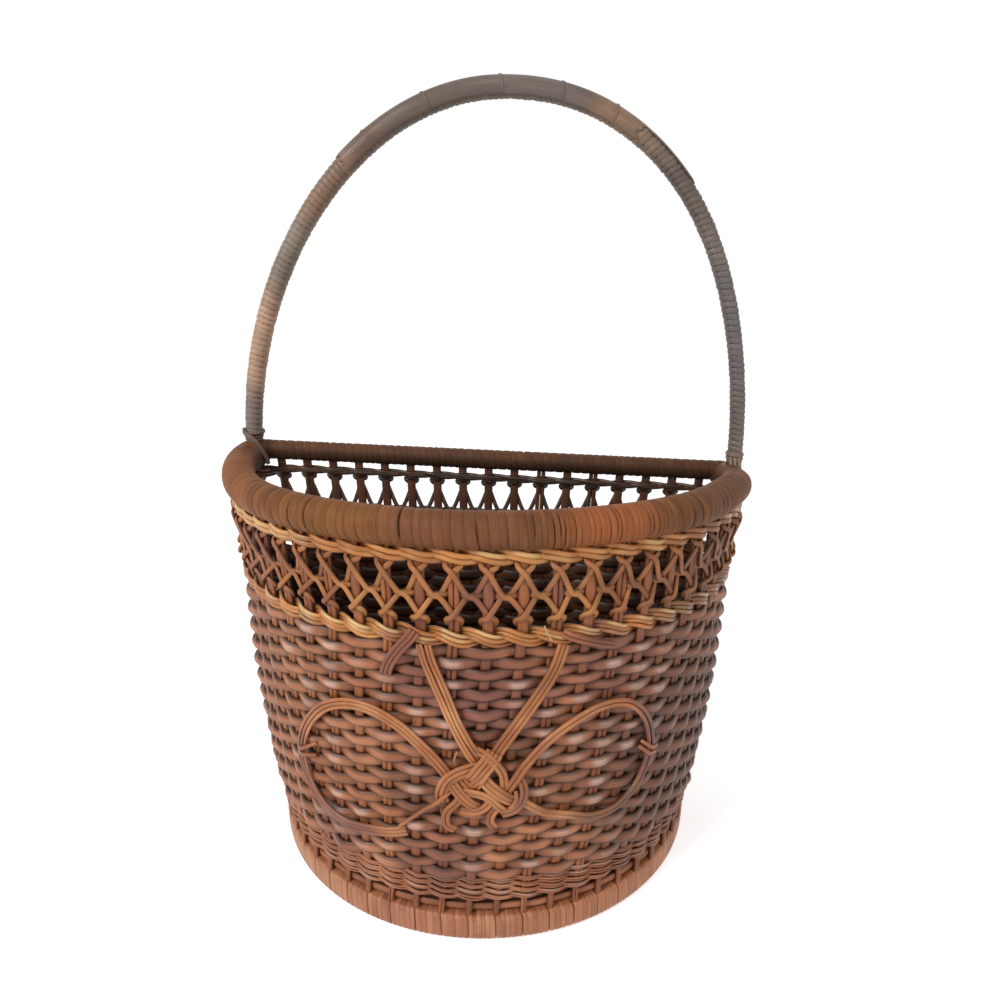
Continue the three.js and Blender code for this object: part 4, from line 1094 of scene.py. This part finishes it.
RIGHT_LOOP = [
    (17.6, 70.2, 0.7), (21.8, 66.9, 1.2), (28.8, 61.4, 1.2), (34.5, 58.9, 0.9), (42.0, 56.0, 0.4),
    (49.0, 53.4, 0.4), (56.0, 52.9, 0.6), (63.4, 55.1, 0.8), (71.0, 62.2, 0.9), (75.5, 72.9, 0.9),
    (77.1, 83.3, 0.9), (73.6, 96.5, 0.9), (65.1, 105.7, 0.9), (53, 107.1, 0.9), (40.9, 102.1, 0.9),
    (30.3, 94.7, 1.0), (21.8, 85.6, 1.6), (18.1, 80.3, 2.2), (15.2, 75.3, 1.8), (13.2, 71.2, 0.8),
]
RIGHT_ARC = [
    (18.9, 80.6, 0.8), (20.8, 77, 1.8), (21.4, 72.4, 2.2), (20, 67.6, 2.4), (16.8, 63.6, 2.0),
    (12.4, 61.3, 0.9),
]
INNER_RIGHT = [(17.9, 74.1, 1.6), (18.2, 70.5, 2.6), (17.1, 67.5, 2.4), (15.3, 64, 0.9)]
BOTTOM_ARC = [(8.7, 71.3, 0.8), (7.3, 67.8, 1.6), (4.6, 65, 2.2), (0.4, 63.1, 1.6), (-4, 63.6, 0.8)]
LEFT_EAR = [
    (-3.4, 70.4, 0.8), (-6.1, 67, 1.6), (-9.2, 63.2, 2.0), (-10.1, 59.2, 2.0), (-9.3, 55.3, 1.6),
    (-6.5, 53, 0.7),
]
RIGHT_EAR = [(12, 67, 0.8), (9.7, 64.3, 1.6), (8, 61.1, 2.0), (7.9, 57.9, 1.8), (9.4, 54.6, 0.8)]
LEFT_TAIL = [
    (-30, 50.3, 0.4), (-25.6, 55.3, 1.0), (-19.2, 61.9, 1.4), (-13.6, 67.4, 2.4), (-9, 72.4, 2.0),
    (-6, 75.1, 0.8),
]
LEFT_TUCK = [
    (-21.6, 144.4, 0.4), (-23.8, 141.4, 1.2), (-28.6, 135.6, 1.0), (-32.6, 128.6, 0.5),
    (-34.6, 121.8, -0.9),
]
RIGHT_TUCK = [
    (35.5, 143.0, -1.2), (39.5, 141.4, 0.3), (46.0, 138.9, 0.6), (53.5, 136.2, 0.3), (60.5, 133.6, -1.4),
]
LEFT_STRAY_END = [(-5.2, 91.4, 0.5), (-6.3, 88.2, 0.8), (-5.9, 84.8, 0.6)]
RIGHT_STRAY_END = [(28.0, 147.6, 1.2), (29.2, 144.6, 1.6), (31.0, 141.2, 1.2)]
LEFT_TIE = [
    [(-80.2, 73.2, 0.4), (-77.6, 75.2, 2.3), (-74.6, 77.4, 2.1), (-69.4, 80.2, -0.2)],
    [(-79.8, 71.8, 0.4), (-77.4, 72.4, 2.3), (-74.0, 73.4, 2.0), (-70.2, 73.2, -0.2)],
]
RIGHT_TIE = [
    [(71.4, 82.4, -0.2), (74.4, 80.6, 2.0), (76.8, 78.4, 2.3), (79.8, 76.2, 0.2)],
    [(72.4, 84.6, -0.2), (75.4, 83.0, 2.0), (77.8, 81.0, 2.2), (80.4, 79.2, 0.2)],
]
SIDE_PULL = 0.04  # the loops' outer ends lie this share nearer to the middle
KNOT_RISE = 2.1  # what lies below the legs' tops is moved up by this
LOW_RISE = 2.5  # and what lies low by this much more
MAT_CANE = 1.8
TIE_CANE = 1.7


def ribbon(piece, route, canes, cane_width):
    """Canes side by side along a route on the front"""
    curve = spline(route, 8)
    along = unit(np.gradient(curve[:, :2], axis=0))
    for k in range(canes):
        shift = (k - (canes - 1) / 2) * cane_width * 1.03
        x = curve[:, 0] - along[:, 1] * shift
        z = curve[:, 1] + along[:, 0] * shift
        x = x * (1 - SIDE_PULL * smooth(np.abs(x) / 80))
        z = z + KNOT_RISE * smooth((140 - z) / 30) + LOW_RISE * smooth((82 - z) / 32)
        points, outward = front_place(x, z, curve[:, 2] + rng.normal(0, 0.06))
        shade = rng.uniform(0.88, 1.0)
        piece.sweep(points, outward, cane_width, cane_width * 0.8, roundness=2.2, shade=shade)


LOOP_STAINS = [
    on_front(-70, 56, 25, VIOLET, 0.85),
    on_front(-48, 44, 18, VIOLET, 0.8),
    on_front(-77, 76, 16, VIOLET, 0.5),
    on_front(76, 82, 24, VIOLET, 0.85),
    on_front(66, 58, 18, (110, 82, 66), 0.9),
    on_front(50, 53, 16, (128, 88, 58), 0.8),
    on_front(73, 97, 14, VIOLET, 0.6),
]
MAT_ROUTES = [
    (TOP_ARC, 2), (LEFT_ARC, 3), (LADDER, 3), (THIRD_BAND, 2), (SECOND_BAND, 3), (CENTRE_BAND, 4),
    (RIGHT_ARC, 2), (INNER_RIGHT, 1), (BOTTOM_ARC, 2), (LEFT_EAR, 2), (RIGHT_EAR, 2),
]
MAT_STAINS = [on_front(21, 72, 8, (150, 96, 76), 0.8), on_front(16, 62, 7, (150, 96, 80), 0.8)]
TUCK_STAINS = [on_front(-27, 132, 30, (136, 82, 64), 0.9), on_front(58, 138, 26, (138, 84, 68), 0.9)]
# For each piece: routes with the number and width of their canes, look, nodes and stains
ORNAMENT = {
    "knot_legs": (
        [(LEFT_LEG_OUTER, 2, 1.35), (LEFT_LEG_INNER, 2, 1.4), (RIGHT_LEG, 3, 1.7)],
        knot_look, ["knot_leg_left", "knot_leg_right"], [on_front(30, 124, 26, (176, 114, 62), 0.7)],
    ),
    "knot_loops": (
        [(LEFT_LOOP, 3, 1.6), (RIGHT_LOOP, 2, 1.9), (LEFT_TAIL, 1, 1.7)],
        knot_look, ["knot_loop_left", "knot_loop_right"], LOOP_STAINS,
    ),
    "knot_mat": (
        [*((route, canes, MAT_CANE) for route, canes in MAT_ROUTES), (LEFT_STRAY_END, 1, 1.1)],
        knot_look, ["knot"], MAT_STAINS,
    ),
    "knot_tucks": ([(LEFT_TUCK, 3, 1.7), (RIGHT_TUCK, 2, 1.8)], weave_look, None, TUCK_STAINS),
    "knot_stray_end": ([(RIGHT_STRAY_END, 1, 0.7)], end_look, None, []),
}
for side, routes in (("left", LEFT_TIE), ("right", RIGHT_TIE)):
    ties = [(route, 1, TIE_CANE) for route in routes]
    ORNAMENT["loop_tie_strands_" + side] = (ties, weave_look, ["loop_tie_" + side], [])


def make_ornament():
    for name, (ribbons, look, nodes, stains) in ORNAMENT.items():
        piece = Piece(name)
        for route, canes, width in ribbons:
            ribbon(piece, route, canes, width)
        piece.build(look, nodes, stains)


# Base: ribs inside a woven mat, with canes round its edge
RIB_PITCH = 11.0
RIB_WIDTH = 2.6
RIB_DEPTH = 1.7
MAT_PITCH = 3.7
MAT_WIDTH = 3.95
MAT_DEPTH = 1.3
MAT_SWING = 1.15  # how far a cane of the mat goes over and under the ribs
MAT_STEP = 1.4
EDGE_WIDTH = 3.6
EDGE_DEPTH = 2.2
BASE_EDGE = [(15.2, -3.6), (18.2, -3.4), (21.2, -3.4)]  # height and offset of the canes round the mat


def make_base():
    piece = Piece("base_weave")
    places = np.arange(0, STAKES, 0.25)
    for z, offset in BASE_EDGE:
        points, outward = on_wall(places, np.full(len(places), z), offset)
        # Painted shade: the canes round the mat are darkened
        piece.sweep(points, outward, EDGE_WIDTH, EDGE_DEPTH, closed=True, roundness=2.6, shade=0.45)
    level = centre_of("base_panel")[2]
    half, front, wall_back = wall_outline(span("base_panel")[0][2])
    back = wall_back - 3
    widest = wall_back - CORNER_RADIUS
    ribs = np.arange(back - 6, front + 6, -RIB_PITCH)
    for y in ribs:
        ahead = (widest - min(y, widest)) / (widest - front - 3)
        reach = (half - 2.5) * math.sqrt(max(1 - ahead**2, 0))
        x = np.linspace(-reach, reach, 24)
        points = joined(x, y, level)
        piece.sweep(points, UP, RIB_WIDTH, RIB_DEPTH)
    for k, x in enumerate(np.arange(-half + 5, half - 4, MAT_PITCH)):
        length = (widest - front - 1.5) * math.sqrt(max(1 - (x / (half - 2)) ** 2, 0))
        y = np.arange(widest - length, back, MAT_STEP)
        wave = np.cos(math.pi * (y - ribs[0]) / RIB_PITCH) * (1 if k % 2 else -1)
        points = joined(x, y, level + MAT_SWING * wave)
        # Painted shade: the mat is darker overall and where a cane dips under a rib
        shade = 0.8 * lerp(0.75, 1.0, (wave + 1) / 2)
        piece.sweep(points, UP, MAT_WIDTH, MAT_DEPTH, roundness=2.8, shade=shade)
    piece.build(weave_look, ["base_panel"])


def dress_core():
    """CAD pieces that stay: their grain runs without a lay, so they get a plain cane finish of their own"""
    s = Shader(bpy.data.materials.new("bare_core"))
    place = s.node("ShaderNodeTexCoord").outputs["Object"]
    grain = s.noise(s.stretch(place, (60, 500, 500)), 1.0, 4.0)
    s.put("Base Color", s.mix(grain, srgb(120, 82, 54), srgb(166, 120, 82)))
    s.put("Roughness", 0.6)
    bump = s.node("ShaderNodeBump", {"Height": grain, "Strength": 0.3, "Distance": 0.0004})
    s.put("Normal", bump.outputs[0])
    for name in ["foot_hoop", "base_stick_1", "base_stick_2", "base_stick_3"]:
        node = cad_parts[name]
        node.data.materials.clear()
        node.data.materials.append(s.owner)


make_weave()
make_stakes()
make_twines()
make_openwork()
make_rim()
make_rim_rods()
make_foot()
make_handle_winding()
make_handle_rod()
make_handle_strip()
make_collars()
make_ornament()
make_base()
dress_core()

# Camera at the photograph's viewing angle, turned to the right, down and round, in degrees
CAMERA_AT = (20.8, -345.8, 267.6)
CAMERA_YAW = -2.08
CAMERA_PITCH = 14.41
CAMERA_ROLL = -0.52
CAMERA_LENS = 29.16
SENSOR_WIDTH = 36


def place_camera():
    turn = Matrix.Rotation(math.radians(-CAMERA_YAW), 4, "Z")
    turn = turn @ Matrix.Rotation(math.radians(90 - CAMERA_PITCH), 4, "X")
    turn = turn @ Matrix.Rotation(math.radians(-CAMERA_ROLL), 4, "Z")
    data = bpy.data.cameras.new("camera")
    data.lens = CAMERA_LENS
    data.sensor_width = SENSOR_WIDTH
    data.clip_start = 0.01
    camera = bpy.data.objects.new("camera", data)
    camera.matrix_world = Matrix.Translation(Vector(CAMERA_AT) * MM) @ turn
    bpy.context.scene.collection.objects.link(camera)
    bpy.context.scene.camera = camera


def area_light(name, at, look_at, size, power):
    data = bpy.data.lights.new(name, "AREA")
    data.shape = "DISK"
    data.size = size
    data.energy = power
    lamp = bpy.data.objects.new(name, data)
    lamp.location = Vector(at)
    lamp.rotation_euler = (Vector(look_at) - Vector(at)).to_track_quat("-Z", "Y").to_euler()
    bpy.context.scene.collection.objects.link(lamp)


# Lights and floor, in metres
WORLD_LIGHT = 0.45
FLOOR_GLOW = 0.6  # added where the floor is seen, so that it reads as white
FLOOR_REACH = 6.0
FLOOR_DROP = 0.0005
LIGHTS_LOOK_AT = (0, 0, 0.12)


def background_rays(s):
    """1 for rays that should see the background: camera, glossy and transmission rays"""
    rays = s.node("ShaderNodeLightPath")
    seen = rays.outputs["Is Camera Ray"]
    for name in ("Is Glossy Ray", "Is Transmission Ray"):
        seen = s.math("MAXIMUM", seen, rays.outputs[name])
    return seen


def make_floor():
    mesh = bpy.data.meshes.new("floor")
    corners = [(-1, -1), (1, -1), (1, 1), (-1, 1)]
    mesh.from_pydata([(FLOOR_REACH * x, FLOOR_REACH * y, 0) for x, y in corners], [], [(0, 1, 2, 3)])
    floor = bpy.data.objects.new("floor", mesh)
    floor.location = (0, 0, -FLOOR_DROP)
    bpy.context.scene.collection.objects.link(floor)
    s = Shader(bpy.data.materials.new("floor"))
    s.put("Base Color", (0.9, 0.9, 0.9, 1))
    s.put("Roughness", 0.9)
    s.put("Emission Color", (1, 1, 1, 1))
    s.put("Emission Strength", s.math("MULTIPLY", background_rays(s), FLOOR_GLOW))
    mesh.materials.append(s.owner)


def make_surroundings():
    bpy.context.scene.view_settings.view_transform = "Standard"
    make_floor()
    world = bpy.data.worlds.new("world")
    bpy.context.scene.world = world
    s = Shader(world, "Background")
    s.put("Color", (1, 1, 1, 1))
    s.put("Strength", s.ramp(background_rays(s), 0.0, 1.0, WORLD_LIGHT, 1.0))
    area_light("key", (-0.9, -1.0, 1.1), LIGHTS_LOOK_AT, 0.6, 15)
    area_light("fill", (0.8, -0.8, 0.5), LIGHTS_LOOK_AT, 0.8, 2)


place_camera()
make_surroundings()
